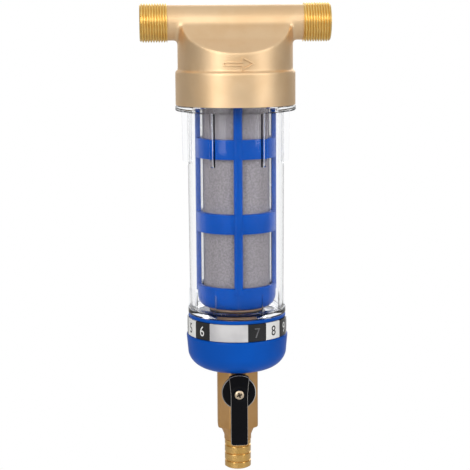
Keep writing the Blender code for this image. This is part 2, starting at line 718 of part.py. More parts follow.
def make_cage(parent):
    """Wiper cage: a top ring, two bands and a cup, joined by four ribs that carry the blades."""
    cage = turned(
        "wiper_cage",
        [
            (BAND_OUTER - CAGE_CUP_WALL, CAGE_CUP_Z),
            (BAND_OUTER, CAGE_CUP_Z),
            (BAND_OUTER, CAGE_CUP_Z - CAGE_CUP_SLOPE / 2),
            *arc(
                BAND_OUTER - CAGE_CUP_CORNER,
                CAGE_END_Z + CAGE_CUP_SLOPE,
                CAGE_CUP_CORNER,
                CAGE_CUP_SLOPE,
                0,
                -90,
            ),
            (TUBE_RADIUS, CAGE_END_Z),
            (TUBE_RADIUS, CAGE_FLOOR_Z),
            *arc(
                BAND_OUTER - CAGE_CUP_CORNER,
                CAGE_END_Z + CAGE_CUP_SLOPE,
                CAGE_CUP_CORNER - CAGE_CUP_WALL,
                CAGE_CUP_SLOPE - CAGE_CUP_FLOOR,
                -90,
                0,
            ),
        ],
    )
    ring_top = FIRST_WINDOW_Z + TOP_RING_HEIGHT
    join(cage, tube("cage top ring", BAND_INNER, BAND_OUTER, ring_top, FIRST_WINDOW_Z))
    for row in range(1, WINDOW_ROWS):
        low = FIRST_WINDOW_Z - row * ROW_PITCH
        join(cage, tube(f"cage band {row}", BAND_INNER, BAND_OUTER, low + BAND_HEIGHT, low))

    rib_end = CAGE_CUP_Z - CAGE_CUP_SLOPE / 2
    outline = [
        (RIB_INNER, -RIB_WIDTH / 2),
        (RIB_OUTER - RIB_PROUD, -RIB_WIDTH / 2),
        (RIB_OUTER, -RIB_WIDTH / 6),
        (RIB_OUTER, RIB_WIDTH / 6),
        (RIB_OUTER - RIB_PROUD, RIB_WIDTH / 2),
        (RIB_INNER, RIB_WIDTH / 2),
    ]
    middle = (ring_top - FUSE + rib_end) / 2
    rib = plate("cage rib", outline, ring_top - FUSE - rib_end, (0, 0, middle), LEVEL)
    join(cage, spread(rib, RIB_COUNT))

    half = BLADE_WIDTH / 2 + SEAT_GAP
    groove = block(
        "blade groove",
        (BAND_INNER - OVERCUT, -half, CAGE_CUP_Z),
        (RIB_INNER + BLADE_GROOVE, half, ring_top + OVERCUT),
    )
    hole = plate(
        "tube hole",
        flatted(TUBE_RADIUS + SEAT_GAP, TUBE_FLAT + SEAT_GAP),
        2 * CAGE_CUP_FLOOR,
        (0, 0, CAGE_END_Z + CAGE_CUP_FLOOR / 2),
        LEVEL,
    )
    cut(cage, spread(groove, RIB_COUNT), hole)
    place(cage, BLUE, parent)

    for i in range(RIB_COUNT):
        blade = block(
            f"wiper_blade_{i + 1}",
            (MESH_RADIUS + SEAT_GAP, -BLADE_WIDTH / 2, CAGE_CUP_Z + SEAT_GAP),
            (BLADE_OUTER, BLADE_WIDTH / 2, ring_top),
        )
        height = blade.location.z
        angle = i * math.tau / RIB_COUNT
        away = blade.location.x
        blade.location = (away * math.cos(angle), away * math.sin(angle), height)
        blade.rotation_euler = (0, 0, angle)
        bpy.context.view_layer.update()
        place(blade, WHITE_RUBBER, parent)


def make_floor_fittings():
    """The bushing that is clamped in the bowl's floor, its gasket and its nut."""
    bushing = turned(
        "floor_bushing",
        [
            (BUSHING_BORE, BUSHING_TOP_Z),
            (BUSHING_FLANGE, BUSHING_TOP_Z),
            (BUSHING_FLANGE, BUSHING_TOP_Z - BUSHING_FLANGE_THICKNESS),
            (BUSHING_RADIUS, BUSHING_TOP_Z - BUSHING_FLANGE_THICKNESS),
            (BUSHING_RADIUS, BUSHING_END_Z),
            (BUSHING_BORE, BUSHING_END_Z),
        ],
        facets=SMALL_FACETS,
    )
    place(bushing, BRASS)
    hole = BUSHING_RADIUS + SEAT_GAP
    gasket = tube(
        "bushing_gasket",
        hole,
        BUSHING_FLANGE - GASKET_INSET,
        GASKET_TOP_Z,
        GASKET_TOP_Z - GASKET_THICKNESS,
        SMALL_FACETS,
    )
    place(gasket, RUBBER)
    nut = bar(
        "bushing_nut",
        BUSHING_RADIUS + NUT_STEP,
        (0, 0, NUT_TOP_Z - NUT_THICKNESS),
        (0, 0, NUT_TOP_Z),
        facets=6,
    )
    past = OVERCUT
    bore = bar("nut bore", hole, (0, 0, NUT_TOP_Z - NUT_THICKNESS - past), (0, 0, NUT_TOP_Z + past))
    cut(nut, bore)
    place(nut, BRASS)


def make_tube(parent):
    """The drain tube hangs by its flange in the cage's cup and carries the blue cup and valve."""
    counterbore = SPIGOT_RADIUS + SEAT_GAP
    clip_floor = TUBE_RADIUS - CLIP_DEPTH
    seals = [BUSHING_TOP_Z - drop for drop in TUBE_SEAL_DROPS]
    flange = TUBE_RADIUS + TUBE_FLANGE_STEP
    drain = turned(
        "drain_tube",
        [
            (TUBE_BORE, TUBE_TOP_Z),
            (flange, TUBE_TOP_Z),
            (flange, TUBE_TOP_Z - TUBE_FLANGE_THICKNESS),
            (TUBE_RADIUS, TUBE_TOP_Z - TUBE_FLANGE_THICKNESS),
            *o_ring_groove(TUBE_RADIUS, TUBE_SEAL_SECTION, seals[0]),
            *o_ring_groove(TUBE_RADIUS, TUBE_SEAL_SECTION, seals[1]),
            (TUBE_RADIUS, CLIP_TOP_Z + SEAT_GAP / 2),
            (clip_floor, CLIP_TOP_Z + SEAT_GAP / 2),
            (clip_floor, CLIP_BOTTOM_Z - SEAT_GAP),
            (TUBE_RADIUS, CLIP_BOTTOM_Z - SEAT_GAP),
            (TUBE_RADIUS, TUBE_END_Z),
            (counterbore, TUBE_END_Z),
            (counterbore, SPIGOT_TOP_Z + SEAT_GAP),
            (TUBE_BORE, SPIGOT_TOP_Z + SEAT_GAP),
        ],
        facets=SMALL_FACETS,
    )
    floor_top = TUBE_TOP_Z - TUBE_FLANGE_THICKNESS
    for side in (-1, 1):
        near = side * TUBE_FLAT
        far = side * (TUBE_RADIUS + OVERCUT)
        for level, (low, high) in enumerate(
            ((CAGE_END_Z, floor_top), (TUBE_END_Z - OVERCUT, HUB_TOP_Z))
        ):
            flat = block(
                f"tube flat {level} {side}",
                (min(near, far), -TUBE_RADIUS, low),
                (max(near, far), TUBE_RADIUS, high),
            )
            cut(drain, flat)
    place(drain, BRASS, parent)
    seal_radius = TUBE_RADIUS - TUBE_SEAL_SECTION
    for i, height in enumerate(seals):
        place(o_ring(f"tube_seal_{i + 1}", seal_radius, TUBE_SEAL_SECTION, height), RUBBER, parent)

    clip = tube(
        "tube_clip",
        clip_floor + SEAT_GAP,
        TUBE_RADIUS + CLIP_STEP,
        CLIP_TOP_Z,
        CLIP_BOTTOM_Z,
        SMALL_FACETS,
    )
    opening = block(
        "clip opening",
        (-CLIP_OPENING / 2, 0, CLIP_BOTTOM_Z - OVERCUT),
        (CLIP_OPENING / 2, TUBE_RADIUS + CLIP_STEP + OVERCUT, CLIP_TOP_Z + OVERCUT),
    )
    cut(clip, opening)
    place(clip, STEEL, parent)


def make_bottom_cup(parent):
    """The blue cup that turns the cage, with a seat for the month ring, and its rim ring."""
    corner = CUP_RADIUS - CUP_TAPER - CUP_CORNER_WIDTH
    corner_z = CUP_BOTTOM_Z + CUP_CORNER_HEIGHT
    rounding = CORNER_STEPS + 1
    hub = TUBE_RADIUS + SEAT_GAP + HUB_WALL
    cup = turned(
        "bottom_cup",
        [
            (CUP_NECK_INNER, CUP_NECK_TOP_Z),
            (CUP_NECK_RADIUS, CUP_NECK_TOP_Z),
            (CUP_NECK_RADIUS, MONTH_RING_TOP_Z),
            (RING_SEAT_RADIUS, MONTH_RING_TOP_Z),
            (RING_SEAT_RADIUS, CUP_TOP_Z),
            (CUP_RADIUS - CUP_LIP_EDGE, CUP_TOP_Z),
            (CUP_RADIUS, CUP_TOP_Z - CUP_LIP_EDGE),
            *arc(corner, corner_z, CUP_CORNER_WIDTH, CUP_CORNER_HEIGHT, 0, -90, rounding),
            (0, CUP_BOTTOM_Z),
            (0, HUB_TOP_Z),
            (hub, HUB_TOP_Z),
            (hub, CUP_BOTTOM_Z + CUP_FLOOR),
            *arc(
                corner,
                corner_z,
                CUP_CORNER_WIDTH - CUP_WALL,
                CUP_CORNER_HEIGHT - CUP_FLOOR,
                -90,
                0,
                rounding,
            ),
            (CUP_RADIUS - CUP_WALL - CUP_TAPER, CUP_TOP_Z - CUP_WALL),
            (CUP_NECK_INNER, CUP_TOP_Z - CUP_WALL),
        ],
    )
    height = HUB_TOP_Z - CUP_BOTTOM_Z
    hole = plate(
        "hub hole",
        flatted(TUBE_RADIUS + SEAT_GAP, TUBE_FLAT + SEAT_GAP),
        height + 2 * OVERCUT,
        (0, 0, CUP_BOTTOM_Z + height / 2),
        LEVEL,
    )
    cut(cup, hole)
    place(cup, BLUE, parent)
    inner = CUP_NECK_RADIUS + SEAT_GAP
    place(tube("rim_ring", inner, RIM_RADIUS, CUP_NECK_TOP_Z, RIM_BOTTOM_Z), BLUE, parent)


def make_valve(parent):
    """Octagonal body with its adapter and two seats; the ball turns on the lever's axis."""
    corner = VALVE_HALF / math.cos(math.pi / 8)
    top = VALVE_TOP_Z
    body = bar(
        "valve_body",
        corner,
        (0, 0, VALVE_BOTTOM_Z),
        (0, 0, top),
        facets=8,
    )
    body.data.transform(Matrix.Rotation(math.pi / 8, 4, "Z"))
    edge = body.modifiers.new("cast edges", "BEVEL")
    edge.width = VALVE_EDGE
    edge.segments = 2
    edge.limit_method = "ANGLE"
    neck = turned(
        "valve neck",
        [
            (0, VALVE_BOTTOM_Z + FUSE),
            (NECK_TOP_RADIUS, VALVE_BOTTOM_Z + FUSE),
            (NECK_TOP_RADIUS, VALVE_BOTTOM_Z - FUSE),
            (NECK_END_RADIUS, VALVE_BOTTOM_Z - NECK_TAPER),
            (NECK_END_RADIUS, NECK_END_Z),
            (0, NECK_END_Z),
        ],
        facets=SMALL_FACETS,
        closed=False,
    )
    boss = bar("stem boss", BOSS_RADIUS, (0, -VALVE_HALF + FUSE, STEM_Z), (0, -BOSS_FACE, STEM_Z))
    join(body, neck, boss)
    insert = TAIL_INSERT + SEAT_GAP
    stem_hole = STEM_RADIUS + SEAT_GAP
    past = OVERCUT
    cut(
        body,
        bar("ball cavity", VALVE_CAVITY, (0, 0, CAVITY_BOTTOM_Z), (0, 0, top + past)),
        bar("valve bore", BALL_BORE, (0, 0, NECK_END_Z - past), (0, 0, STEM_Z)),
        bar("tail bore", insert, (0, 0, NECK_END_Z - past), (0, 0, TAIL_TOP_Z + SEAT_GAP)),
        bar("stem hole", stem_hole, (0, 0, STEM_Z), (0, -BOSS_FACE - past, STEM_Z)),
    )
    place(body, CAST_BRASS, parent)

    seat_top = STEM_Z + BALL_RADIUS
    adapter = turned(
        "valve_adapter",
        [
            (BALL_BORE, SPIGOT_TOP_Z),
            (SPIGOT_RADIUS, SPIGOT_TOP_Z),
            (SPIGOT_RADIUS, VALVE_TOP_Z),
            (SEAT_RADIUS, VALVE_TOP_Z),
            (SEAT_RADIUS, seat_top + SEAT_GAP),
            (BALL_BORE, seat_top + SEAT_GAP),
        ],
        facets=SMALL_FACETS,
    )
    place(adapter, BRASS, parent)
    for name, side in (("upper_ball_seat", 1), ("lower_ball_seat", -1)):
        place(ball_seat(name, side), WHITE_PLASTIC, parent)

    seal_depth = BOSS_FACE - BOSS_LENGTH
    seal = o_ring(
        "stem_seal",
        STEM_RADIUS - STEM_SEAL_SECTION,
        STEM_SEAL_SECTION,
        STEM_Z,
        turn=UPRIGHT,
        centre=(0, -seal_depth, STEM_Z),
    )
    place(seal, RUBBER, parent)
    return seal_depth


def ball_seat(name, side):
    """A plastic ring whose inner face follows the ball, a seat gap away from it."""
    opening = BALL_BORE + SEAT_OPENING
    clear = BALL_RADIUS + SEAT_GAP
    inner = math.degrees(math.acos(opening / clear))
    outer = math.degrees(math.acos(SEAT_RADIUS / clear))
    face = arc(0, 0, clear, clear, outer, inner)
    profile = [(opening, BALL_RADIUS), (SEAT_RADIUS, BALL_RADIUS), *face]
    if side < 0:
        profile = [(radius, -height) for radius, height in reversed(profile)]
    return turned(name, [(radius, STEM_Z + height) for radius, height in profile], SMALL_FACETS)


def make_tail(parent):
    """Machined hose tail, screwed into the valve's neck, with barbs that taper downwards."""
    barbs = [(BARB_RADIUS, BARB_TOP_Z), (BARB_RADIUS, BARB_TOP_Z - TAIL_COLLAR)]
    for i in range(BARB_COUNT):
        high = BARB_TOP_Z - TAIL_COLLAR - i * BARB_LENGTH
        barbs += [
            (BARB_RADIUS - BARB_STEP, high),
            (BARB_RADIUS, high - BARB_STEP),
            (BARB_RADIUS, high - BARB_LENGTH / 2),
            (BARB_RADIUS - BARB_STEP, high - BARB_LENGTH),
        ]
    # The last barb ends in a shorter radius, the tail's nose
    end = BARB_TOP_Z - TAIL_COLLAR - BARB_COUNT * BARB_LENGTH
    barbs[-1] = (BARB_RADIUS - BARB_STEP - TAIL_NOSE, end)
    tail = turned(
        "hose_tail",
        [
            (BALL_BORE, TAIL_TOP_Z),
            (TAIL_INSERT, TAIL_TOP_Z),
            (TAIL_INSERT, BARB_TOP_Z),
            *barbs,
            (BALL_BORE, end),
        ],
        facets=SMALL_FACETS,
    )
    place(tail, BRASS, parent)


def make_lever(parent, seal_depth):
    """Lever with its screw, and the stem and ball that it turns, all about the stem's axis."""
    bpy.ops.mesh.primitive_uv_sphere_add(
        segments=SMALL_FACETS, ring_count=SMALL_FACETS // 2, radius=BALL_RADIUS,
        location=(0, 0, STEM_Z),
    )
    ball = bpy.context.object
    ball.name = "valve_ball"
    smooth(ball)
    slot_half = TANG_WIDTH / 2 + SEAT_GAP
    slot_floor = BALL_RADIUS - TANG_DEPTH - SEAT_GAP
    cut(
        ball,
        bar("ball bore", BALL_BORE, (0, 0, STEM_Z - 2 * BALL_RADIUS), (0, 0, STEM_Z + 2 * BALL_RADIUS)),
        block(
            "stem slot",
            (-slot_half, -BALL_RADIUS - OVERCUT, STEM_Z - BALL_RADIUS / 2),
            (slot_half, -slot_floor, STEM_Z + BALL_RADIUS / 2),
        ),
    )
    place(ball, BRASS, parent)

    groove_floor = STEM_RADIUS - 2 * STEM_SEAL_SECTION - SEAT_GAP
    half = STEM_SEAL_SECTION + SEAT_GAP
    shoulder = VALVE_CAVITY
    stem = turned(
        "valve_stem",
        [
            (0, DISC_BACK),
            (STEM_RADIUS, DISC_BACK),
            (STEM_RADIUS, seal_depth + half),
            (groove_floor, seal_depth + half),
            (groove_floor, seal_depth - half),
            (STEM_RADIUS, seal_depth - half),
            (STEM_RADIUS, shoulder),
            (0, shoulder),
        ],
        facets=SMALL_FACETS,
        closed=False,
    )
    stem.location = (0, 0, STEM_Z)
    stem.rotation_euler = UPRIGHT
    bpy.context.view_layer.update()
    square = STEM_SQUARE / 2
    tang = block(
        "stem tang",
        (-TANG_WIDTH / 2, -shoulder - FUSE, STEM_Z - TANG_HEIGHT / 2),
        (TANG_WIDTH / 2, -BALL_RADIUS + TANG_DEPTH, STEM_Z + TANG_HEIGHT / 2),
    )
    drive = block(
        "stem square",
        (-square, -STEM_FRONT, STEM_Z - square),
        (square, -DISC_BACK + FUSE, STEM_Z + square),
    )
    join(stem, tang, drive)
    tapped = SCREW_SHANK + SEAT_GAP
    tap_end = SCREW_BACK - SCREW_LENGTH - SEAT_GAP
    cut(stem, bar("tapped hole", tapped, (0, -tap_end, STEM_Z), (0, -LEVER_FRONT, STEM_Z)))
    place(stem, BRASS, parent)

    lean = math.degrees(math.asin(LEVER_TOP_WIDTH / 2 / LEVER_TOP_REACH))
    corner = LEVER_CORNER
    edge = LEVER_WIDTH / 2 - corner
    low = corner - LEVER_ARM
    outline = [
        *arc(0, 0, LEVER_TOP_REACH, LEVER_TOP_REACH, 90 - lean, 90 + lean),
        (-LEVER_WIDTH / 2, 0),
        *arc(-edge, low, corner, corner, 180, 270),
        *arc(edge, low, corner, corner, 270, 360),
        (LEVER_WIDTH / 2, 0),
    ]
    depth = (DISC_FRONT - FUSE + LEVER_FRONT) / 2
    lever = plate(
        "drain_lever", outline, LEVER_THICKNESS + FUSE, (0, -depth, STEM_Z)
    )
    join(
        lever,
        bar("lever disc", LEVER_DISC_RADIUS, (0, -DISC_BACK, STEM_Z), (0, -DISC_FRONT, STEM_Z)),
    )
    hole = square + SEAT_GAP
    cut(
        lever,
        block(
            "lever square",
            (-hole, -STEM_FRONT - SEAT_GAP, STEM_Z - hole),
            (hole, -DISC_BACK + OVERCUT, STEM_Z + hole),
        ),
        bar(
            "lever screw hole",
            SCREW_SHANK + SEAT_GAP,
            (0, -LEVER_FRONT - OVERCUT, STEM_Z),
            (0, -DISC_FRONT, STEM_Z),
        ),
    )
    place(lever, BLACK, parent)

    screw = turned(
        "lever_screw",
        [
            (0, SCREW_BACK + SCREW_HEAD),
            (SCREW_RADIUS - SCREW_HEAD / 2, SCREW_BACK + SCREW_HEAD),
            (SCREW_RADIUS, SCREW_BACK + SCREW_HEAD / 2),
            (SCREW_RADIUS, SCREW_BACK),
            (SCREW_SHANK, SCREW_BACK),
            (SCREW_SHANK, SCREW_BACK - SCREW_LENGTH),
            (0, SCREW_BACK - SCREW_LENGTH),
        ],
        facets=SMALL_FACETS // 2,
        closed=False,
    )
    screw.location = (0, 0, STEM_Z)
    screw.rotation_euler = UPRIGHT
    bpy.context.view_layer.update()
    place(screw, STEEL, parent)


for old in list(bpy.data.objects):
    bpy.data.objects.remove(old, do_unlink=True)
PARTS = new_collection("water_prefilter")
CUTTERS = new_collection("cutters")

BRASS = finish("machined brass", (0.83, 0.56, 0.22), 0.25, metallic=1.0)
CAST_BRASS = finish("blasted brass", (0.76, 0.52, 0.29), 0.5, metallic=1.0)
CLEAR = finish("clear plastic", (0.97, 0.98, 0.99), 0.03, transmission=1.0)
BLUE = finish("blue plastic", (0.0, 0.08, 0.45), 0.3)
BLACK = finish("black enamel", (0.01, 0.01, 0.012), 0.35)
WHITE_PLASTIC = finish("white plastic", (0.8, 0.8, 0.78), 0.4)
STEEL = finish("stainless steel", (0.6, 0.59, 0.57), 0.35, metallic=1.0)
RUBBER = finish("black rubber", (0.02, 0.02, 0.02), 0.7)
WHITE_RUBBER = finish("white silicone", (0.82, 0.82, 0.81), 0.5)

turning_axis = axis_empty("turning axis", (0, 0, 0))
month_axis = axis_empty("month ring axis", (0, 0, MONTH_RING_TOP_Z))
lever_axis = axis_empty("lever axis", (0, 0, STEM_Z))

make_head()
make_bowl()
make_element()
make_floor_fittings()
make_cage(turning_axis)
make_tube(turning_axis)
make_bottom_cup(turning_axis)
month_ring = tube(
    "month_ring", MONTH_RING_INNER, MONTH_RING_OUTER, MONTH_RING_TOP_Z, MONTH_RING_BOTTOM_Z
)
place(month_ring, WHITE_PLASTIC, month_axis)
stem_seal_depth = make_valve(turning_axis)
make_tail(turning_axis)
make_lever(lever_axis, stem_seal_depth)
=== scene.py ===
# %% [markdown]
# # A whole-house water prefilter, built up for its picture
#
# The real thing is a brass head in the water pipe, with a clear bowl screwed into it. In the bowl
# hangs a mesh element, and a blue cage with wiper blades turns round it. The cage is turned by the
# blue cup under the bowl, which also carries a ring with the month numbers and a drain valve.
#
# The solids of all these parts exist already. They are loaded here as a fixed frame in metres, with
# +Z up, the pipe along X and the front at -Y. Each new piece takes its size and place from the solid
# that it stands for, rides on the same body and hides that solid.

# %% Load the frame and measure it
import math

import bpy
from mathutils import Matrix, Vector


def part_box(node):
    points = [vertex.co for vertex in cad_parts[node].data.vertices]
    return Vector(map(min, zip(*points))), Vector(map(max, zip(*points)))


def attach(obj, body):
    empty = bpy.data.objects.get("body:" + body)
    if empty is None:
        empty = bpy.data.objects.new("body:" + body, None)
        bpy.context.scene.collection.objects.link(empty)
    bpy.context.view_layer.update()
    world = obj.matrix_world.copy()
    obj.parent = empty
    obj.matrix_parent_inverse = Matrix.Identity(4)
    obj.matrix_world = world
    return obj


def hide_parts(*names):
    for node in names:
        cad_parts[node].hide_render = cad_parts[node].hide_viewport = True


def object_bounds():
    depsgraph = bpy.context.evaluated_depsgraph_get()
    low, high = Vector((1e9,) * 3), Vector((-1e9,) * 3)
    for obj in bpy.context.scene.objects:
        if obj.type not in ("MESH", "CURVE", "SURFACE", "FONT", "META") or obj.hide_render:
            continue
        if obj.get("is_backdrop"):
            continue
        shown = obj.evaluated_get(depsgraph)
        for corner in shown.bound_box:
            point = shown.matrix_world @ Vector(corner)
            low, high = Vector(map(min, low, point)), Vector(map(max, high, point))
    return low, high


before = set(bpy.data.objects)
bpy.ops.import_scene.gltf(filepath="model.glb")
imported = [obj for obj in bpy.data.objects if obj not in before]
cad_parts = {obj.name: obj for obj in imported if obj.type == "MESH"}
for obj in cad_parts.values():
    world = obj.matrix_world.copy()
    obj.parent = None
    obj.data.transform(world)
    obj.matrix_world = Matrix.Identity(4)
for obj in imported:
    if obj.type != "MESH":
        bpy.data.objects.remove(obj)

MM = 0.001
cad_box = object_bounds()
head_low, head_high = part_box("head_casting")
bowl_low, bowl_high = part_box("bowl")
cage_low, cage_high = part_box("wiper_cage")
cup_low, cup_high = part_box("bottom_cup")
valve_low, valve_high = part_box("valve_body")
tail_low, tail_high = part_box("hose_tail")
lever_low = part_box("drain_lever")[0]
print("nodes", len(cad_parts), "height", round((cad_box[1].z - cad_box[0].z) / MM, 1), "mm")

# %% [markdown]
# ## The camera
#
# The camera stands a metre in front, level with the pipe, and looks down at the bowl. A long lens
# from far away keeps the sides of the tall bowl almost parallel. Its three axes are worked out from
# the angles and put into one matrix, which is easier to follow than three Euler angles.

# %% Camera
CAMERA_DISTANCE = 970 * MM
CAMERA_HEIGHT = 5 * MM
CAMERA_TURN = math.radians(-3)
CAMERA_TILT = math.radians(8.896)
CAMERA_ROLL = math.radians(0.38)
LENS = 107.7
SHIFT = -0.003

back = Vector((
    math.sin(CAMERA_TURN) * math.cos(CAMERA_TILT),
    -math.cos(CAMERA_TURN) * math.cos(CAMERA_TILT),
    math.sin(CAMERA_TILT),
))
right = Vector((math.cos(CAMERA_TURN), math.sin(CAMERA_TURN), 0))
up = back.cross(right)
rolled_right = right * math.cos(CAMERA_ROLL) - up * math.sin(CAMERA_ROLL)
rolled_up = right * math.sin(CAMERA_ROLL) + up * math.cos(CAMERA_ROLL)
place = Vector((
    math.sin(CAMERA_TURN) * CAMERA_DISTANCE,
    -math.cos(CAMERA_TURN) * CAMERA_DISTANCE,
    CAMERA_HEIGHT,
))
bpy.ops.object.camera_add()
camera = bpy.context.object
camera.name = "camera"
axes = Matrix((rolled_right, rolled_up, back)).transposed().to_4x4()
camera.matrix_world = Matrix.Translation(place) @ axes
camera.data.lens = LENS
camera.data.shift_x = SHIFT
camera.data.clip_start = 10 * MM
bpy.context.scene.camera = camera
print("camera at", [round(c, 3) for c in place])

# %% [markdown]
# ## The floor, the surroundings and the lamps
#
# The filter is photographed on white. The white comes from rays that reach the camera straight from
# the floor or the world, so it adds no light to the object. Metal and clear plastic need something
# to mirror: two tall soft boxes at the front's left and right, a broad one above the front, one
# behind, and surroundings that are bright behind the filter and above it and dim at its sides, which
# draws the dark bands along the round brass. The floor is darker in reflections than it is lit, or it
# would put a haze on the clear bowl and on the blue plastic.

# %% Floor and world
FLOOR_Z = -0.52
FLOOR_SIZE = 30.0
FLOOR_ROUGHNESS = 0.6
FLOOR_LIT = 0.80
FLOOR_MIRRORED = 0.55
SHADOW_RADIUS = 0.22
SHADOW_FADE = 0.30
BACKDROP_LIGHT = 1.0
SIDE_LIGHT = 0.36
FRONT_LIGHT = 0.50
ZENITH_LIGHT = 0.75
SIDE_TO_FRONT = (-0.9, -0.2)
SIDE_TO_BACK = (0.55, 0.85)
SIDE_TO_ZENITH = (0.1, 0.9)
WHITE_LIGHT = (1, 1, 1, 1)


def feed(tree, socket, value):
    """Sets an input to a value, or links it to the socket that feeds it."""
    if isinstance(value, bpy.types.NodeSocket):
        tree.links.new(value, socket)
    else:
        socket.default_value = value


def add(tree, kind, inputs=None, **settings):
    """Adds a shader node. An input is given a value, or the socket that feeds it."""
    made = tree.nodes.new(kind)
    for name, value in settings.items():
        setattr(made, name, value)
    for name, value in (inputs or {}).items():
        feed(tree, made.inputs[name], value)
    return made


def sum_of(tree, operation, first, second=0.0):
    """One step of arithmetic with values or sockets."""
    return add(tree, "ShaderNodeMath", {0: first, 1: second}, operation=operation).outputs[0]


def ramp(tree, value, low=0.0, high=1.0, start=0.0, end=1.0, smooth=False):
    """Goes from the start to the end as a value goes from low to high."""
    inputs = {"Value": value, "From Min": low, "From Max": high, "To Min": start, "To Max": end}
    kind = "SMOOTHSTEP" if smooth else "LINEAR"
    return add(tree, "ShaderNodeMapRange", inputs, interpolation_type=kind).outputs["Result"]


def seen_straight(tree, behind):
    """1 for rays from the camera, and the given mask for rays that come out of clear plastic."""
    ray = add(tree, "ShaderNodeLightPath").outputs
    through = sum_of(tree, "MULTIPLY", ray["Is Transmission Ray"], behind)
    return sum_of(tree, "MAXIMUM", ray["Is Camera Ray"], through)


def mix_shaders(tree, share, first, second):
    """Gives a material's output the first shader, and the second by its share."""
    mix = add(tree, "ShaderNodeMixShader", {0: share, 1: first.outputs[0], 2: second.outputs[0]})
    feed(tree, tree.nodes["Material Output"].inputs["Surface"], mix.outputs[0])


bpy.ops.object.select_all(action="DESELECT")
bpy.ops.mesh.primitive_plane_add(size=FLOOR_SIZE, location=(0, 0, FLOOR_Z))
floor = bpy.context.object
floor.name = "floor"
floor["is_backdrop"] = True
pale = bpy.data.materials.new("pale floor")
pale.use_nodes = True
tree = pale.node_tree
paint = tree.nodes["Principled BSDF"]
mirrored = add(tree, "ShaderNodeLightPath").outputs["Is Glossy Ray"]
feed(tree, paint.inputs["Base Color"], ramp(tree, mirrored, start=FLOOR_LIT, end=FLOOR_MIRRORED))
feed(tree, paint.inputs["Roughness"], FLOOR_ROUGHNESS)
spot = add(tree, "ShaderNodeTexCoord").outputs["Object"]
distance = add(tree, "ShaderNodeVectorMath", {0: spot}, operation="LENGTH").outputs["Value"]
away = ramp(tree, distance, SHADOW_RADIUS, SHADOW_RADIUS + SHADOW_FADE)
depth = add(tree, "ShaderNodeSeparateXYZ", {0: spot}).outputs["Y"]
straight = seen_straight(tree, sum_of(tree, "GREATER_THAN", depth))
white = add(tree, "ShaderNodeEmission", {"Color": WHITE_LIGHT, "Strength": BACKDROP_LIGHT})
mix_shaders(tree, sum_of(tree, "MULTIPLY", away, straight), paint, white)
floor.data.materials.append(pale)

world = bpy.data.worlds.new("studio")
bpy.context.scene.world = world
world.use_nodes = True
tree = world.node_tree
background = tree.nodes["Background"]
direction = add(tree, "ShaderNodeTexCoord").outputs["Generated"]
parts = add(tree, "ShaderNodeSeparateXYZ", {0: direction}).outputs
behind = ramp(tree, parts["Y"], *SIDE_TO_BACK, 0.0, BACKDROP_LIGHT, smooth=True)
beside = ramp(tree, parts["Y"], *SIDE_TO_FRONT, FRONT_LIGHT, SIDE_LIGHT, smooth=True)
above = ramp(tree, parts["Z"], *SIDE_TO_ZENITH, 0.0, ZENITH_LIGHT, smooth=True)
studio = sum_of(tree, "MAXIMUM", sum_of(tree, "MAXIMUM", behind, beside), above)
straight = seen_straight(tree, ramp(tree, parts["Y"], *SIDE_TO_FRONT))
feed(tree, background.inputs["Strength"], ramp(tree, straight, start=studio, end=BACKDROP_LIGHT))
feed(tree, background.inputs["Color"], WHITE_LIGHT)
print("floor at", FLOOR_Z, "world side light", SIDE_LIGHT)

# %% Lamps
LAMP_TARGET = Vector((0, 0, -0.13))
# The columns are the name, the angle from the front, the height, the distance, the width, the length
# and the power in watts.
LAMPS = (
    ("left soft box", -36, 0.38, 1.3, 0.50, 1.35, 7.2),
    ("right soft box", 52, 0.35, 1.4, 0.34, 1.25, 5.4),
    ("front soft box", 4, 0.55, 1.25, 1.0, 0.4, 2.5),
    ("rear soft box", 165, 0.45, 1.4, 0.9, 0.9, 4),
)

for name, degrees, height, reach, wide, tall, power in LAMPS:
    turn = math.radians(degrees)
    spot = Vector((math.sin(turn) * reach, -math.cos(turn) * reach, height))
    bpy.ops.object.light_add(type="AREA", location=spot)
    lamp = bpy.context.object
    lamp.name = name
    lamp.data.shape = "RECTANGLE"
    lamp.data.size = wide
    lamp.data.size_y = tall
    lamp.data.energy = power
    lamp.rotation_euler = (spot - LAMP_TARGET).to_track_quat("Z", "Y").to_euler()
bpy.context.scene.view_settings.view_transform = "Standard"

# %% [markdown]
# ## Shop tools
#
# Nearly everything on a filter is turned on a lathe or moulded round, so the main tool draws a
# circle and extrudes its edge from point to point of a profile, scaling it as it goes. A Screw
# modifier would do the same from a line, but the circle keeps every ring of points where a bevel or
# a cut can find it. The other tools add one modifier and apply it, cut one shape from another, and
# give a finished piece its material and its body and hide the solids that it stands for.

# %% Helpers for meshes
SIDES = 144
FEW_SIDES = 72
MERGE = 0.001 * MM
SHARP = math.radians(32)


def named(name):
    """Names the shape that was just added."""
    piece = bpy.context.object
    piece.name = name
    bpy.ops.object.transform_apply(location=True, rotation=True, scale=True)
    return piece


def only(piece):
    """Makes a piece the one that is selected and active."""
    bpy.ops.object.select_all(action="DESELECT")
    piece.select_set(True)
    bpy.context.view_layer.objects.active = piece


def edit(piece):
    """Opens a piece in edit mode with all of it selected."""
    only(piece)
    bpy.ops.object.mode_set(mode="EDIT")
    bpy.ops.mesh.select_mode(type="VERT")
    bpy.ops.mesh.select_all(action="SELECT")


def close():
    """Merges doubles, points the faces outwards and leaves edit mode."""
    bpy.ops.mesh.select_all(action="SELECT")
    bpy.ops.mesh.remove_doubles(threshold=MERGE)
    bpy.ops.mesh.normals_make_consistent(inside=False)
    bpy.ops.object.mode_set(mode="OBJECT")


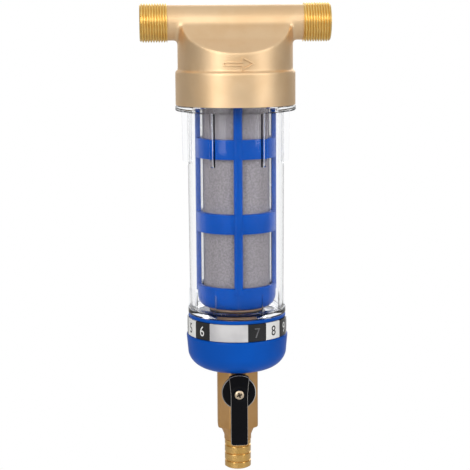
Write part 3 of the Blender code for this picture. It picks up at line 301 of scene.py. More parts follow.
def turned(name, profile, sides=SIDES):
    """Extrudes a circle along (radius, height) points. Only a profile that stays open is capped."""
    ring = profile[0] == profile[-1]
    radius, height = profile[0]
    fill = "NOTHING" if ring else "NGON"
    bpy.ops.object.select_all(action="DESELECT")
    bpy.ops.mesh.primitive_circle_add(
        vertices=sides, radius=radius, fill_type=fill, location=(0, 0, height)
    )
    piece = named(name)
    edit(piece)
    for next_radius, next_height in profile[1:]:
        rise = {"value": (0, 0, next_height - height)}
        bpy.ops.mesh.extrude_edges_move(TRANSFORM_OT_translate=rise)
        grow = next_radius / radius
        bpy.ops.transform.resize(value=(grow, grow, 1), center_override=(0, 0, next_height))
        radius, height = next_radius, next_height
    if not ring:
        bpy.ops.mesh.edge_face_add()
    close()
    return piece


def hoop(name, inner, outer, low, high, upper_edge, lower_edge, sides=SIDES):
    """A turned ring with bevelled outer edges."""
    profile = [
        (inner, high),
        (outer - upper_edge, high),
        (outer, high - upper_edge),
        (outer, low + lower_edge),
        (outer - lower_edge, low),
        (inner, low),
        (inner, high),
    ]
    return turned(name, profile, sides)


def rounded(centre, height, reach, start, end, steps=6):
    """Profile points on an arc between two angles. Its reach is a radius, or a width and a height."""
    wide, tall = reach if isinstance(reach, tuple) else (reach, reach)
    angles = [math.radians(start + (end - start) * i / steps) for i in range(steps + 1)]
    return [(centre + wide * math.cos(a), height + tall * math.sin(a)) for a in angles]


def box(name, low, high):
    """A cube stretched from its lowest to its highest corner."""
    low, high = Vector(low), Vector(high)
    bpy.ops.object.select_all(action="DESELECT")
    bpy.ops.mesh.primitive_cube_add(size=1, location=(low + high) / 2, scale=high - low)
    return named(name)


def rod(name, radius, start, end, along="Z", sides=96):
    """A cylinder between two places along X, Y or Z, for joining or cutting."""
    start, end = Vector(start), Vector(end)
    turn = {"X": (0, math.pi / 2, 0), "Y": (math.pi / 2, 0, 0), "Z": (0, 0, 0)}[along]
    length = (end - start).length
    bpy.ops.object.select_all(action="DESELECT")
    bpy.ops.mesh.primitive_cylinder_add(
        vertices=sides, radius=radius, depth=length, location=(start + end) / 2, rotation=turn
    )
    return named(name)


def outline(name, points):
    """A closed line: a circle with one vertex for each point, which are then moved there."""
    bpy.ops.object.select_all(action="DESELECT")
    bpy.ops.mesh.primitive_circle_add(vertices=len(points), radius=1, fill_type="NOTHING")
    piece = named(name)
    for vertex, point in zip(piece.data.vertices, points):
        vertex.co = point
    return piece


def extruded(name, points, push):
    """An outline that is filled and pushed out to a solid."""
    piece = outline(name, points)
    edit(piece)
    bpy.ops.mesh.edge_face_add()
    bpy.ops.mesh.extrude_region_move(TRANSFORM_OT_translate={"value": push})
    close()
    return piece


def settle(piece, location=(0, 0, 0), rotation=(0, 0, 0)):
    """Turns and moves a piece, and writes its place into its mesh."""
    only(piece)
    piece.location = location
    piece.rotation_euler = rotation
    bpy.ops.object.transform_apply(location=True, rotation=True, scale=True)
    return piece


def modify(piece, kind, **settings):
    """Adds one modifier, sets it and applies it."""
    only(piece)
    step = piece.modifiers.new(kind.lower(), kind)
    for name, value in settings.items():
        setattr(step, name, value)
    bpy.ops.object.modifier_apply(modifier=step.name)
    return piece


def soften(piece, width, segments=2, angle=SHARP):
    """Rounds every edge that is sharper than an angle."""
    sharp = {"limit_method": "ANGLE", "angle_limit": angle}
    return modify(piece, "BEVEL", width=width, segments=segments, use_clamp_overlap=True, **sharp)


def combine(piece, other, operation="DIFFERENCE"):
    """Cuts or joins a piece with another, which is then thrown away."""
    modify(piece, "BOOLEAN", object=other, operation=operation, solver="MANIFOLD")
    bpy.data.objects.remove(other, do_unlink=True)
    return piece


def joined(pieces):
    """Several objects made one, without welding them."""
    only(pieces[0])
    for piece in pieces:
        piece.select_set(True)
    bpy.ops.object.join()
    return pieces[0]


def copies(piece, count):
    """One object made of copies of a piece that stand round the filter's axis."""
    made = []
    for i in range(count):
        copy = piece.copy()
        copy.data = piece.data.copy()
        bpy.context.collection.objects.link(copy)
        copy.data.transform(Matrix.Rotation(math.tau * i / count, 4, "Z"))
        made.append(copy)
    bpy.data.objects.remove(piece, do_unlink=True)
    return joined(made)


def trim(piece, point, normal):
    """Cuts away what lies on the side of a plane that its normal points to, and fills the cut."""
    edit(piece)
    bpy.ops.mesh.bisect(plane_co=point, plane_no=normal, use_fill=True, clear_outer=True)
    bpy.ops.object.mode_set(mode="OBJECT")


def coat(piece, *finishes):
    """Takes away the finishes that a piece has, and gives it these."""
    piece.data.materials.clear()
    for finish in finishes:
        piece.data.materials.append(finish)


def dress(piece, finish, body, slot, *nodes):
    """Shades a finished piece, gives it its material and body, and hides the solids it stands for."""
    only(piece)
    bpy.ops.object.shade_smooth_by_angle(angle=SHARP)
    if finish:
        coat(piece, finish)
    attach(piece, body)
    if nodes:
        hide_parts(*nodes)
    print(piece.name, "faces", len(piece.data.polygons), "for", ", ".join(nodes) or "no solid")


print("turned pieces have", SIDES, "sides")

# %% [markdown]
# ## Surface effects that several finishes share
#
# Shot-blasted castings, moulded plastic and enamel all need a fine grain, and every handled surface
# has faint patches where it is duller. These effects are node groups, so that each finish can place
# them with values of its own. A group only hands out heights and masks: the shader stays outside.

# %% Node groups
FLOAT = "NodeSocketFloat"
VECTOR = "NodeSocketVector"


def new_group(name, inputs, outputs):
    """An empty node group, the sockets of what it is given and those of what it hands out."""
    group = bpy.data.node_groups.new(name, "ShaderNodeTree")
    for label, kind in inputs:
        group.interface.new_socket(label, in_out="INPUT", socket_type=kind)
    for label, kind in outputs:
        group.interface.new_socket(label, in_out="OUTPUT", socket_type=kind)
    start = group.nodes.new("NodeGroupInput")
    return group, start.outputs, group.nodes.new("NodeGroupOutput").inputs


def noise(tree, vector, scale, detail, distortion=0.0):
    """The value of a noise texture."""
    inputs = {"Vector": vector, "Scale": scale, "Detail": detail, "Distortion": distortion}
    return add(tree, "ShaderNodeTexNoise", inputs).outputs["Fac"]


def make_grain():
    """Fine grain as a height, and broad patches as a mask."""
    inputs = [("Vector", VECTOR), ("Grain Scale", FLOAT), ("Patch Scale", FLOAT)]
    group, given, out = new_group("surface grain", inputs, [("Height", FLOAT), ("Patches", FLOAT)])
    fine = noise(group, given["Vector"], given["Grain Scale"], detail=3.0)
    broad = noise(group, given["Vector"], given["Patch Scale"], detail=4.0)
    feed(group, out["Height"], fine)
    feed(group, out["Patches"], ramp(group, broad, low=0.35, high=0.65, smooth=True))
    return group


def make_tool_marks():
    """The fine rings that a lathe tool leaves, from a distance along the axis and a pitch."""
    inputs = [("Along", FLOAT), ("Pitch", FLOAT), ("Vector", VECTOR)]
    group, given, out = new_group("tool marks", inputs, [("Height", FLOAT)])
    turns = sum_of(group, "DIVIDE", given["Along"], given["Pitch"])
    wave = sum_of(group, "SINE", sum_of(group, "MULTIPLY", turns, math.tau))
    rings = sum_of(group, "MULTIPLY", wave, 0.3)
    scratches = noise(group, given["Vector"], scale=400.0, detail=2.0)
    feed(group, out["Height"], sum_of(group, "ADD", rings, scratches))
    return group


def make_handling():
    """Fingerprints and dust: a base roughness that rises in patches."""
    inputs = [("Vector", VECTOR), ("Base", FLOAT), ("Rise", FLOAT)]
    group, given, out = new_group("handling marks", inputs, [("Roughness", FLOAT)])
    smears = noise(group, given["Vector"], scale=55.0, detail=5.0, distortion=0.6)
    rise = sum_of(group, "MULTIPLY", ramp(group, smears, low=0.4, high=0.75), given["Rise"])
    feed(group, out["Roughness"], sum_of(group, "ADD", rise, given["Base"]))
    return group


GRAIN = make_grain()
TOOL_MARKS = make_tool_marks()
HANDLING = make_handling()
print("groups", GRAIN.name, TOOL_MARKS.name, HANDLING.name)

# %% [markdown]
# ## The finishes
#
# The head and the valve body are brass castings blasted with grit: a pale, even tan with soft
# highlights. The threads, the hose tail and the bushing are machined, so they are yellower, smoother
# and carry tool marks. The cage and the cup are blue plastic, and the bowl is polished clear plastic.

# %% Brass and steel
TOOL_PITCH = 0.35 * MM
METAL = {"Metallic": 1.0, "Coat Weight": 0.2}


def effect(tree, group, inputs):
    """What a shared effect hands out when it is placed in a material with these values."""
    return add(tree, "ShaderNodeGroup", inputs, node_tree=group).outputs


def new_finish(name, grain_scale, patch_scale, roughness, rise, plain):
    """A material with the shared grain and handling marks, and plain values for its shader."""
    finish = bpy.data.materials.new(name)
    finish.use_nodes = True
    tree = finish.node_tree
    shader = tree.nodes["Principled BSDF"].inputs
    spot = add(tree, "ShaderNodeTexCoord").outputs["Object"]
    scales = {"Grain Scale": grain_scale, "Patch Scale": patch_scale}
    grain = effect(tree, GRAIN, {"Vector": spot, **scales})
    dull = effect(tree, HANDLING, {"Vector": spot, "Base": roughness, "Rise": rise})
    feed(tree, shader["Roughness"], dull["Roughness"])
    for label, value in plain.items():
        feed(tree, shader[label], value)
    return finish, tree, shader, spot, grain


def colour(tree, shader, mask, light, dark):
    """Gives a shader a colour that goes from light to dark as the mask goes from 0 to 1."""
    mixer = add(tree, "ShaderNodeMix", data_type="RGBA")
    share, first, second = (s for s in mixer.inputs if s.enabled)
    feed(tree, share, mask)
    feed(tree, first, (*light, 1))
    feed(tree, second, (*dark, 1))
    feed(tree, shader["Base Color"], next(s for s in mixer.outputs if s.enabled))


def emboss(tree, shader, height, strength, depth):
    """Gives a shader a bump: the height is 1 where the surface stands a depth proud."""
    inputs = {"Height": height, "Strength": strength, "Distance": depth}
    feed(tree, shader["Normal"], add(tree, "ShaderNodeBump", inputs).outputs["Normal"])


def blasted_brass(name, light, dark, roughness):
    """Cast brass with a grit-blasted skin."""
    plain = {**METAL, "Coat Roughness": 0.5}
    finish, tree, shader, spot, grain = new_finish(name, 2200.0, 45.0, roughness, 0.08, plain)
    colour(tree, shader, grain["Patches"], light, dark)
    emboss(tree, shader, grain["Height"], strength=0.3, depth=0.07 * MM)
    return finish


def machined_metal(name, light, dark, roughness, axis="Z"):
    """Turned metal: tool marks run round its axis."""
    plain = {**METAL, "Coat Roughness": 0.25}
    finish, tree, shader, spot, grain = new_finish(name, 900.0, 160.0, roughness, 0.1, plain)
    along = add(tree, "ShaderNodeSeparateXYZ", {0: spot}).outputs[axis]
    marks = effect(tree, TOOL_MARKS, {"Vector": spot, "Along": along, "Pitch": TOOL_PITCH})
    colour(tree, shader, grain["Patches"], light, dark)
    emboss(tree, shader, marks["Height"], strength=0.1, depth=0.01 * MM)
    return finish


def vector_step(tree, operation, inputs, output="Vector"):
    """One step of vector arithmetic."""
    return add(tree, "ShaderNodeVectorMath", inputs, operation=operation).outputs[output]


def darken_roots(finish, low, high, least):
    """Darkens a pipe thread's roots by the distance from the pipe's axis."""
    tree = finish.node_tree
    base = tree.nodes["Principled BSDF"].inputs["Base Color"]
    spot = add(tree, "ShaderNodeTexCoord").outputs["Object"]
    across = vector_step(tree, "MULTIPLY", {0: spot, 1: (0, 1, 1)})
    radius = vector_step(tree, "LENGTH", {0: across}, "Value")
    shade = ramp(tree, radius, low, high, start=least)
    feed(tree, base, vector_step(tree, "SCALE", {0: base.links[0].from_socket, "Scale": shade}))


CAST_BRASS = blasted_brass("blasted brass", (0.87, 0.63, 0.38), (0.83, 0.58, 0.33), 0.46)
VALVE_BRASS = blasted_brass("valve brass", (0.70, 0.41, 0.17), (0.64, 0.35, 0.12), 0.40)
THREAD_BRASS = machined_metal("thread brass", (1.0, 0.72, 0.25), (0.98, 0.68, 0.21), 0.29, "X")
TURNED_BRASS = machined_metal("turned brass", (0.84, 0.52, 0.18), (0.77, 0.46, 0.13), 0.21)
BUSHING_BRASS = machined_metal("bushing brass", (0.46, 0.30, 0.20), (0.38, 0.24, 0.15), 0.42)
SCREW_METAL = machined_metal("plated screw", (0.74, 0.60, 0.44), (0.66, 0.52, 0.36), 0.28, "Y")
# A dark finish for the faces inside the screw's cross: painted shade.
SLOT_SHADE = machined_metal("painted shade in the slot", (0.10, 0.07, 0.05), (0.06, 0.045, 0.03), 0.6, "Y")
STEEL = machined_metal("stainless steel", (0.72, 0.68, 0.60), (0.62, 0.58, 0.52), 0.25, "Y")
print("metals", CAST_BRASS.name, THREAD_BRASS.name, STEEL.name)

# %% Plastics, rubber and enamel
WIRE_PITCH = 0.9 * MM
WIRE_SHARE = 0.6
PATCH_SHARE = 0.25
FINE = 0.01 * MM


def moulded(name, light, dark, roughness, depth=FINE, grain_scale=700.0, gloss=0.5, clear=0.0):
    """Moulded plastic or rubber with a faint grain."""
    plain = {"Specular IOR Level": gloss, "Transmission Weight": clear}
    finish, tree, shader, spot, grain = new_finish(name, grain_scale, 30.0, roughness, 0.1, plain)
    colour(tree, shader, grain["Patches"], light, dark)
    emboss(tree, shader, grain["Height"], strength=0.3, depth=depth)
    return finish


def clear_plastic():
    """Polished clear plastic. Shadow rays go straight through it, so that what it holds is lit."""
    plain = {
        "Base Color": (0.985, 0.99, 1.0, 1),
        "Transmission Weight": 1.0,
        "IOR": 1.42,
        "Specular Tint": (0.3, 0.3, 0.31, 1),
    }
    finish, tree, shader, spot, grain = new_finish("clear plastic", 90.0, 20.0, 0.0, 0.03, plain)
    emboss(tree, shader, grain["Height"], strength=0.1, depth=0.03 * MM)
    through = add(tree, "ShaderNodeBsdfTransparent", {"Color": (0.93, 0.95, 0.97, 1)})
    shadow = add(tree, "ShaderNodeLightPath").outputs["Is Shadow Ray"]
    mix_shaders(tree, shadow, tree.nodes["Principled BSDF"], through)
    return finish


def woven_steel():
    """Stainless wire cloth. The wires are finer than a pixel, so they are a bump and a tint."""
    plain = {"Metallic": 0.35}
    finish, tree, shader, spot, grain = new_finish("steel mesh", 600.0, 900.0, 0.5, 0.1, plain)
    at = add(tree, "ShaderNodeSeparateXYZ", {0: spot}).outputs
    angle = sum_of(tree, "ARCTAN2", at["X"], at["Y"])
    wires = round(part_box("mesh_sleeve")[1].x / WIRE_PITCH)
    weft = sum_of(tree, "SINE", sum_of(tree, "MULTIPLY", angle, math.tau * wires))
    warp = sum_of(tree, "SINE", sum_of(tree, "MULTIPLY", at["Z"], math.tau / WIRE_PITCH))
    cloth = ramp(tree, sum_of(tree, "MULTIPLY", weft, warp), low=-1.0)
    woven = sum_of(tree, "MULTIPLY", cloth, WIRE_SHARE)
    patchy = sum_of(tree, "MULTIPLY", grain["Patches"], PATCH_SHARE)
    tint = sum_of(tree, "ADD", woven, patchy)
    colour(tree, shader, tint, (0.14, 0.125, 0.132), (0.52, 0.475, 0.495))
    emboss(tree, shader, cloth, strength=0.5, depth=0.06 * MM)
    return finish


BLUE = moulded("blue plastic", (0.0, 0.080, 0.44), (0.0, 0.070, 0.39), 0.32, gloss=0.10)
WHITE = moulded("white plastic", (0.80, 0.80, 0.78), (0.74, 0.74, 0.72), 0.4)
RUBBER = moulded("black rubber", (0.025, 0.025, 0.026), (0.018, 0.018, 0.019), 0.62, 4 * FINE)
SILICONE = moulded("white silicone", (0.98, 0.98, 0.98), (0.95, 0.95, 0.95), 0.2, clear=0.9)
ENAMEL = moulded(
    "black enamel", (0.003, 0.003, 0.005), (0.002, 0.002, 0.003), 0.20, FINE, 350.0, gloss=0.12
)
# A pale enamel for the lever's front bevels: a painted highlight.
EDGE_HIGHLIGHT = moulded(
    "enamel edge with painted highlight", (0.60, 0.57, 0.53), (0.26, 0.24, 0.225), 0.30, 2 * FINE, 400.0
)
CELL_WHITE = moulded("white month cell", (0.80, 0.80, 0.78), (0.75, 0.75, 0.73), 0.18)
CELL_BLACK = moulded("black month cell", (0.012, 0.012, 0.013), (0.009, 0.009, 0.010), 0.16)
CELL_FADED = moulded("worn month number", (0.16, 0.16, 0.165), (0.09, 0.09, 0.095), 0.2)
CELL_BARE = moulded("bare ring window", (0.62, 0.61, 0.61), (0.45, 0.44, 0.45), 0.12)
CLEAR = clear_plastic()
MESH = woven_steel()
print("plastics", BLUE.name, CLEAR.name, MESH.name)

# %% [markdown]
# ## The head: one casting
#
# The head is a round cup under a length of pipe, with a sloped roof between them and a thicker
# collar that takes the bowl. A casting has no sharp inner corners: the roof runs up to the pipe in
# a fillet. Bevels are hard to run along the curve where a cylinder meets a pipe, so the shapes are
# pushed into each other, made one skin with a voxel remesh, and that skin is smoothed most where the
# fillets are. Weights in vertex groups say how much each place is smoothed. What a machine cuts
# afterwards, the pipe's ends and the bores, is cut after the smoothing, so that it stays crisp.

# %% Head: the rough shapes made one skin
BODY_RADIUS = 39.5 * MM
COLLAR_RADIUS = head_high.y
COLLAR_TOP = -32.2 * MM
COLLAR_EDGE = 1.0 * MM
PIPE_RADIUS = 12 * MM
PIPE_END = 46.3 * MM
ROOF_DROP = 4.5 * MM
ROOF_ANGLE = math.radians(29)
SADDLE_DROP = 0.7 * MM
SADDLE_ANGLE = math.radians(42)
SADDLE_END = 23 * MM
HEAD_SKIN = 0.7 * MM
EXTRA = 2 * MM
head_bottom = head_low.z


def roofed_cup(name, drop, angle):
    """The cup and collar under a roof that falls to both sides from a height at the pipe."""
    piece = turned(name, [
        (COLLAR_RADIUS, head_bottom - EXTRA),
        (COLLAR_RADIUS, COLLAR_TOP - COLLAR_EDGE),
        (COLLAR_RADIUS - COLLAR_EDGE, COLLAR_TOP),
        (BODY_RADIUS, COLLAR_TOP),
        (BODY_RADIUS, 0),
    ])
    for side in (1, -1):
        trim(piece, (0, side * PIPE_RADIUS, -drop), (0, side * math.sin(angle), math.cos(angle)))
    return piece


cup = roofed_cup("head", ROOF_DROP, ROOF_ANGLE)
saddle = roofed_cup("saddle", SADDLE_DROP, SADDLE_ANGLE)
trim(saddle, (0, 0, COLLAR_TOP + EXTRA), (0, 0, -1))
combine(cup, saddle, "UNION")
pipe = rod("pipe", PIPE_RADIUS, (-PIPE_END - EXTRA, 0, 0), (PIPE_END + EXTRA, 0, 0), "X")
combine(cup, pipe, "UNION")
modify(cup, "REMESH", mode="VOXEL", voxel_size=HEAD_SKIN)
print("head skin", len(cup.data.polygons), "faces")

# %% Head: fillets by weighted smoothing
FILLET_REACH = 4.5 * MM
RIM_REACH = 3.0 * MM
BEND_REACH = 9.0 * MM
ROOF_SKIN = 1 * MM
OFF_ROOF = 2 * MM


def pipe_distance(p):
    return abs(math.hypot(p.y, p.z) - PIPE_RADIUS)


def wall_distance(p):
    return abs(math.hypot(p.x, p.y) - BODY_RADIUS)


def slope_distance(p, drop, angle):
    return abs((abs(p.y) - PIPE_RADIUS) * math.sin(angle) + (p.z + drop) * math.cos(angle))


def roof_distance(p):
    if abs(p.y) < SADDLE_END:
        return slope_distance(p, SADDLE_DROP, SADDLE_ANGLE)
    return slope_distance(p, ROOF_DROP, ROOF_ANGLE)


def bend_weight(p):
    """1 where the steep part of the roof meets the flat part, and 0 off the roof."""
    if roof_distance(p) > ROOF_SKIN or min(wall_distance(p), pipe_distance(p)) < OFF_ROOF:
        return 0.0
    return max(0.0, 1.0 - abs(abs(p.y) - SADDLE_END) / BEND_REACH)


def fillet_weight(p):
    """1 where the pipe meets the cup or its roof, falling to 0 away from there."""
    away = max(pipe_distance(p), min(wall_distance(p), roof_distance(p)))
    return max(0.0, 1.0 - away / FILLET_REACH)


def rim_weight(p):
    """1 on the roof's rim, and little on the collar's edge."""
    away = max(wall_distance(p), roof_distance(p))
    if abs(p.z - COLLAR_TOP) < RIM_REACH:
        return 0.15
    return max(0.1, 1.0 - away / (2 * RIM_REACH))


def smooth_by(piece, name, weight, rounds):
    """Smooths a piece as much as a weight says at each of its points."""
    group = piece.vertex_groups.new(name=name)
    for vertex in piece.data.vertices:
        group.add([vertex.index], weight(vertex.co), "REPLACE")
    modify(piece, "SMOOTH", vertex_group=name, iterations=rounds, factor=0.5)
    piece.vertex_groups.remove(piece.vertex_groups[name])


smooth_by(cup, "bends", bend_weight, 120)
smooth_by(cup, "fillets", fillet_weight, 60)
smooth_by(cup, "rims", rim_weight, 14)
for side in (1, -1):
    trim(cup, (side * PIPE_END, 0, 0), (side, 0, 0))
trim(cup, (0, 0, head_bottom), (0, 0, -1))
print("head trimmed to", [round(v / MM, 1) for v in cup.dimensions])

# %% Head: chamber, ports and bores
BORE_TOP = -31.3 * MM
CEILING = -20.714 * MM
SOCKET_END = -33.914 * MM
NECK_BORE = 35.8 * MM
CHAMBER = 33 * MM
SOCKET_OUTER = 19.6 * MM
SOCKET_INNER = 15.6 * MM
PIPE_BORE = 9 * MM
INLET_PORT = -26.3 * MM
INLET_END = INLET_PORT + 6.7 * MM
INLET_HOLE = 6 * MM
OUTLET_HOLE = 8.3 * MM
NECK_BEVEL = 1 * MM
pipe_past = (PIPE_END + EXTRA, 0, 0)
below_ceiling = CEILING - EXTRA

chamber = turned("chamber", [
    (NECK_BORE + NECK_BEVEL, head_bottom - EXTRA),
    (NECK_BORE + NECK_BEVEL, head_bottom),
    (NECK_BORE, head_bottom + NECK_BEVEL),
    (NECK_BORE, BORE_TOP),
    (CHAMBER, BORE_TOP),
    (CHAMBER, CEILING),
    (SOCKET_OUTER, CEILING),
    (SOCKET_OUTER, SOCKET_END),
    (SOCKET_INNER, SOCKET_END),
    (SOCKET_INNER, CEILING),
])
combine(cup, chamber)
combine(cup, rod("inlet port", INLET_HOLE, (INLET_PORT, 0, 0), (INLET_PORT, 0, below_ceiling)))
combine(cup, rod("outlet port", OUTLET_HOLE, (0, 0, 0), (0, 0, below_ceiling)))
combine(cup, rod("inlet bore", PIPE_BORE, (-PIPE_END - EXTRA, 0, 0), (INLET_END, 0, 0), "X"))
combine(cup, rod("outlet bore", PIPE_BORE, (-PIPE_BORE, 0, 0), pipe_past, "X"))
dress(cup, CAST_BRASS, "filter_body", "blasted_brass", "head_casting")

# %% [markdown]
# ## The pipe threads
#
# A thread is one tooth that runs round in a helix. The pipe's end is turned with fourteen rings of
# points to each pitch, and each outer point is then moved in or out by its place in the turn. The
# tooth is a wave that is cut off at the crest and at the root. The end has a bevel that helps a nut
# to start, and the roots are darker, because little light gets down to them.

# %% Pipe threads
THREAD_PITCH = 1.814 * MM
THREAD_RADIUS = 13.2 * MM
THREAD_ROOT = 12.06 * MM
THREAD_DEPTH = THREAD_RADIUS - THREAD_ROOT
THREAD_END = head_high.x
THREAD_EASE = 0.4 * MM
RINGS_PER_TURN = 14
TOOTH_MIDDLE = 0.68
TOOTH_SWING = 0.85
ROOT_SHADE = 0.85


def make_thread(name, side):
    """A male thread between the pipe's shoulder and its end, at +X or turned round to -X."""
    length = THREAD_END - PIPE_END
    rings = round(length / THREAD_PITCH * RINGS_PER_TURN)
    pipe = turned(name, [
        (PIPE_BORE, PIPE_END),
        *[(THREAD_RADIUS, PIPE_END + length * i / rings) for i in range(rings + 1)],
        (PIPE_BORE + THREAD_EASE, THREAD_END),
        (PIPE_BORE, THREAD_END - THREAD_EASE),
        (PIPE_BORE, PIPE_END),
    ], FEW_SIDES)
    for vertex in pipe.data.vertices:
        x, y, z = vertex.co
        radius = math.hypot(x, y)
        if radius > THREAD_ROOT:
            turn = (z - PIPE_END) / THREAD_PITCH - math.atan2(y, x) / math.tau
            wave = TOOTH_MIDDLE + TOOTH_SWING * math.cos(math.tau * turn)
            rise = THREAD_DEPTH * min(1.0, max(0.0, wave))
            tooth = min(THREAD_ROOT + rise, THREAD_ROOT + THREAD_END - z)
            vertex.co = (x * tooth / radius, y * tooth / radius, z)
    settle(pipe, rotation=(0, math.pi / 2, 0))
    if side < 0:
        settle(pipe, rotation=(0, 0, math.pi))
    dress(pipe, THREAD_BRASS, "filter_body", "blasted_brass")


darken_roots(THREAD_BRASS, THREAD_ROOT, THREAD_RADIUS - 0.3 * THREAD_DEPTH, ROOT_SHADE)
make_thread("inlet_thread", -1)
make_thread("outlet_thread", 1)

# %% [markdown]
# ## The flow arrow
#
# A raised line on the front of the cup shows which way the water runs. Its outline is drawn flat, the
# face is inset by the line's width and its middle is deleted, the rest gets its thickness, and then
# every point is bent round the cup: its distance to the side becomes an angle.

# %% Flow arrow
ARROW_LINE = 0.95 * MM
ARROW_PROUD = 0.9 * MM
ARROW_Z = -26.9 * MM
ARROW_TAIL = -10 * MM
ARROW_NECK = 2.1 * MM
ARROW_TIP = 11.2 * MM
ARROW_SHAFT = 1.5 * MM
ARROW_BARB = 4.8 * MM
ARROW_EDGE = 0.2 * MM
ARROW_CUTS = 5


def wrap_round(piece, radius):
    """Bends a flat piece round the axis: X runs along the arc, and -Y is how far it stands proud."""
    for vertex in piece.data.vertices:
        angle = vertex.co.x / radius
        reach = radius - vertex.co.y
        vertex.co = (math.sin(angle) * reach, -math.cos(angle) * reach, vertex.co.z)
    piece.data.update()


arrow = outline("flow_arrow", [
    (ARROW_TAIL, 0, -ARROW_SHAFT),
    (ARROW_NECK, 0, -ARROW_SHAFT),
    (ARROW_NECK, 0, -ARROW_BARB),
    (ARROW_TIP, 0, 0),
    (ARROW_NECK, 0, ARROW_BARB),
    (ARROW_NECK, 0, ARROW_SHAFT),
    (ARROW_TAIL, 0, ARROW_SHAFT),
])
edit(arrow)
bpy.ops.mesh.edge_face_add()
bpy.ops.mesh.inset(thickness=ARROW_LINE, use_even_offset=True)
bpy.ops.mesh.delete(type="FACE")
bpy.ops.mesh.select_all(action="SELECT")
bpy.ops.mesh.subdivide(number_cuts=ARROW_CUTS)
bpy.ops.object.mode_set(mode="OBJECT")
modify(arrow, "SOLIDIFY", thickness=2 * ARROW_PROUD, offset=0)
soften(arrow, ARROW_EDGE, 2)
settle(arrow, (0, 0, ARROW_Z))
wrap_round(arrow, BODY_RADIUS)
edit(arrow)
close()
dress(arrow, CAST_BRASS, "filter_body", "blasted_brass")

# %% [markdown]
# ## The clear bowl
#
# The bowl is moulded in clear plastic: a long wall that tapers a little, a flange and six gussets
# that press on the head's collar, and a lower flange on twelve small gussets. Clear pieces must be
# real shells with an inner and an outer skin, because light bends at both. The profile is turned as
# a ring that returns to its start, and the gussets are joined to it, so that no skin lies inside.
# A ring of points just past each fillet keeps the shading of the long wall straight.

# %% Clear bowl
NECK_TOP = bowl_high.z
FLANGE_TOP = -55.9 * MM
FLANGE_BOTTOM = -59.6 * MM
LOWER_FLANGE_TOP = -196.814 * MM
LOWER_FLANGE_BOTTOM = -201.014 * MM
BOWL_FLOOR = -199.714 * MM
BOWL_BOTTOM = bowl_low.z
FLANGE_RADIUS = bowl_high.y
NECK_RADIUS = 35.5 * MM
OUTER_TOP, OUTER_BOTTOM = 33.4 * MM, 32.7 * MM
INNER_TOP, INNER_BOTTOM = 30.3 * MM, 29.6 * MM
LOWER_FLANGE = 34.1 * MM
FOOT = 28 * MM
FLOOR_HOLE = 14.3 * MM
GROOVE_Z = NECK_TOP - 5 * MM
GROOVE_HALF = 1.5 * MM
GROOVE_FLOOR = NECK_RADIUS - 2.7 * MM
ROUND = 0.5 * MM
FILLET = 1.5 * MM
LOWER_FILLET = 0.8 * MM
FLOOR_CORNER = 4 * MM
PAST_FILLET = 1 * MM
low_fillet = OUTER_BOTTOM + LOWER_FILLET

bowl = turned("clear_bowl", [
    (INNER_TOP, NECK_TOP),
    (NECK_RADIUS - ROUND, NECK_TOP),
    (NECK_RADIUS, NECK_TOP - ROUND),
    (NECK_RADIUS, GROOVE_Z + GROOVE_HALF),
    (GROOVE_FLOOR, GROOVE_Z + GROOVE_HALF),
    (GROOVE_FLOOR, GROOVE_Z - GROOVE_HALF),
    (NECK_RADIUS, GROOVE_Z - GROOVE_HALF),
    (NECK_RADIUS, FLANGE_TOP),
    (FLANGE_RADIUS - ROUND, FLANGE_TOP),
    (FLANGE_RADIUS, FLANGE_TOP - ROUND),
    (FLANGE_RADIUS, FLANGE_BOTTOM + ROUND),
    (FLANGE_RADIUS - ROUND, FLANGE_BOTTOM),
    *rounded(OUTER_TOP + FILLET, FLANGE_BOTTOM - FILLET, FILLET, 90, 180, 4),
    (OUTER_TOP, FLANGE_BOTTOM - FILLET - PAST_FILLET),
    (OUTER_BOTTOM, LOWER_FLANGE_TOP + 2 * LOWER_FILLET),
    *rounded(low_fillet, LOWER_FLANGE_TOP + LOWER_FILLET, LOWER_FILLET, 180, 270, 3),
    (LOWER_FLANGE - ROUND / 2, LOWER_FLANGE_TOP),
    (LOWER_FLANGE, LOWER_FLANGE_TOP - ROUND),
    (LOWER_FLANGE, LOWER_FLANGE_BOTTOM + ROUND),
    (LOWER_FLANGE - ROUND, LOWER_FLANGE_BOTTOM),
    (FOOT, LOWER_FLANGE_BOTTOM),
    (FOOT, BOWL_BOTTOM + ROUND),
    (FOOT - ROUND, BOWL_BOTTOM),
    (FLOOR_HOLE, BOWL_BOTTOM),
    (FLOOR_HOLE, BOWL_FLOOR),
    *rounded(INNER_BOTTOM - FLOOR_CORNER, BOWL_FLOOR + FLOOR_CORNER, FLOOR_CORNER, -90, 0),
    (INNER_BOTTOM, BOWL_FLOOR + FLOOR_CORNER + PAST_FILLET),
    (INNER_TOP, NECK_TOP - PAST_FILLET),
    (INNER_TOP, NECK_TOP),
])
print("bowl wall", round((OUTER_TOP - INNER_TOP) / MM, 2), "mm")

# %% Bowl gussets
UPPER_REACH = OUTER_TOP + 3.8 * MM
UPPER_LOW = FLANGE_BOTTOM - 37 * MM
UPPER_LEAN = 0.5 * MM
UPPER_CORNER = 3 * MM
LOWER_HIGH = LOWER_FLANGE_TOP + 12.8 * MM
LOWER_REACH = LOWER_FLANGE - 0.4 * MM
LOWER_TIP = (OUTER_BOTTOM + 0.4 * MM, LOWER_HIGH - 0.2 * MM)
LOWER_TOE = LOWER_FLANGE_TOP + 0.6 * MM
SUNK = 0.5 * MM


def add_gussets(name, points, thickness, edge, segments, count):
    """Joins plates to the bowl, which stand round it with softened edges."""
    plate = extruded(name, [(x, -thickness / 2, z) for x, z in points], (0, thickness, 0))
    soften(plate, edge, segments)
    combine(bowl, copies(plate, count), "UNION")


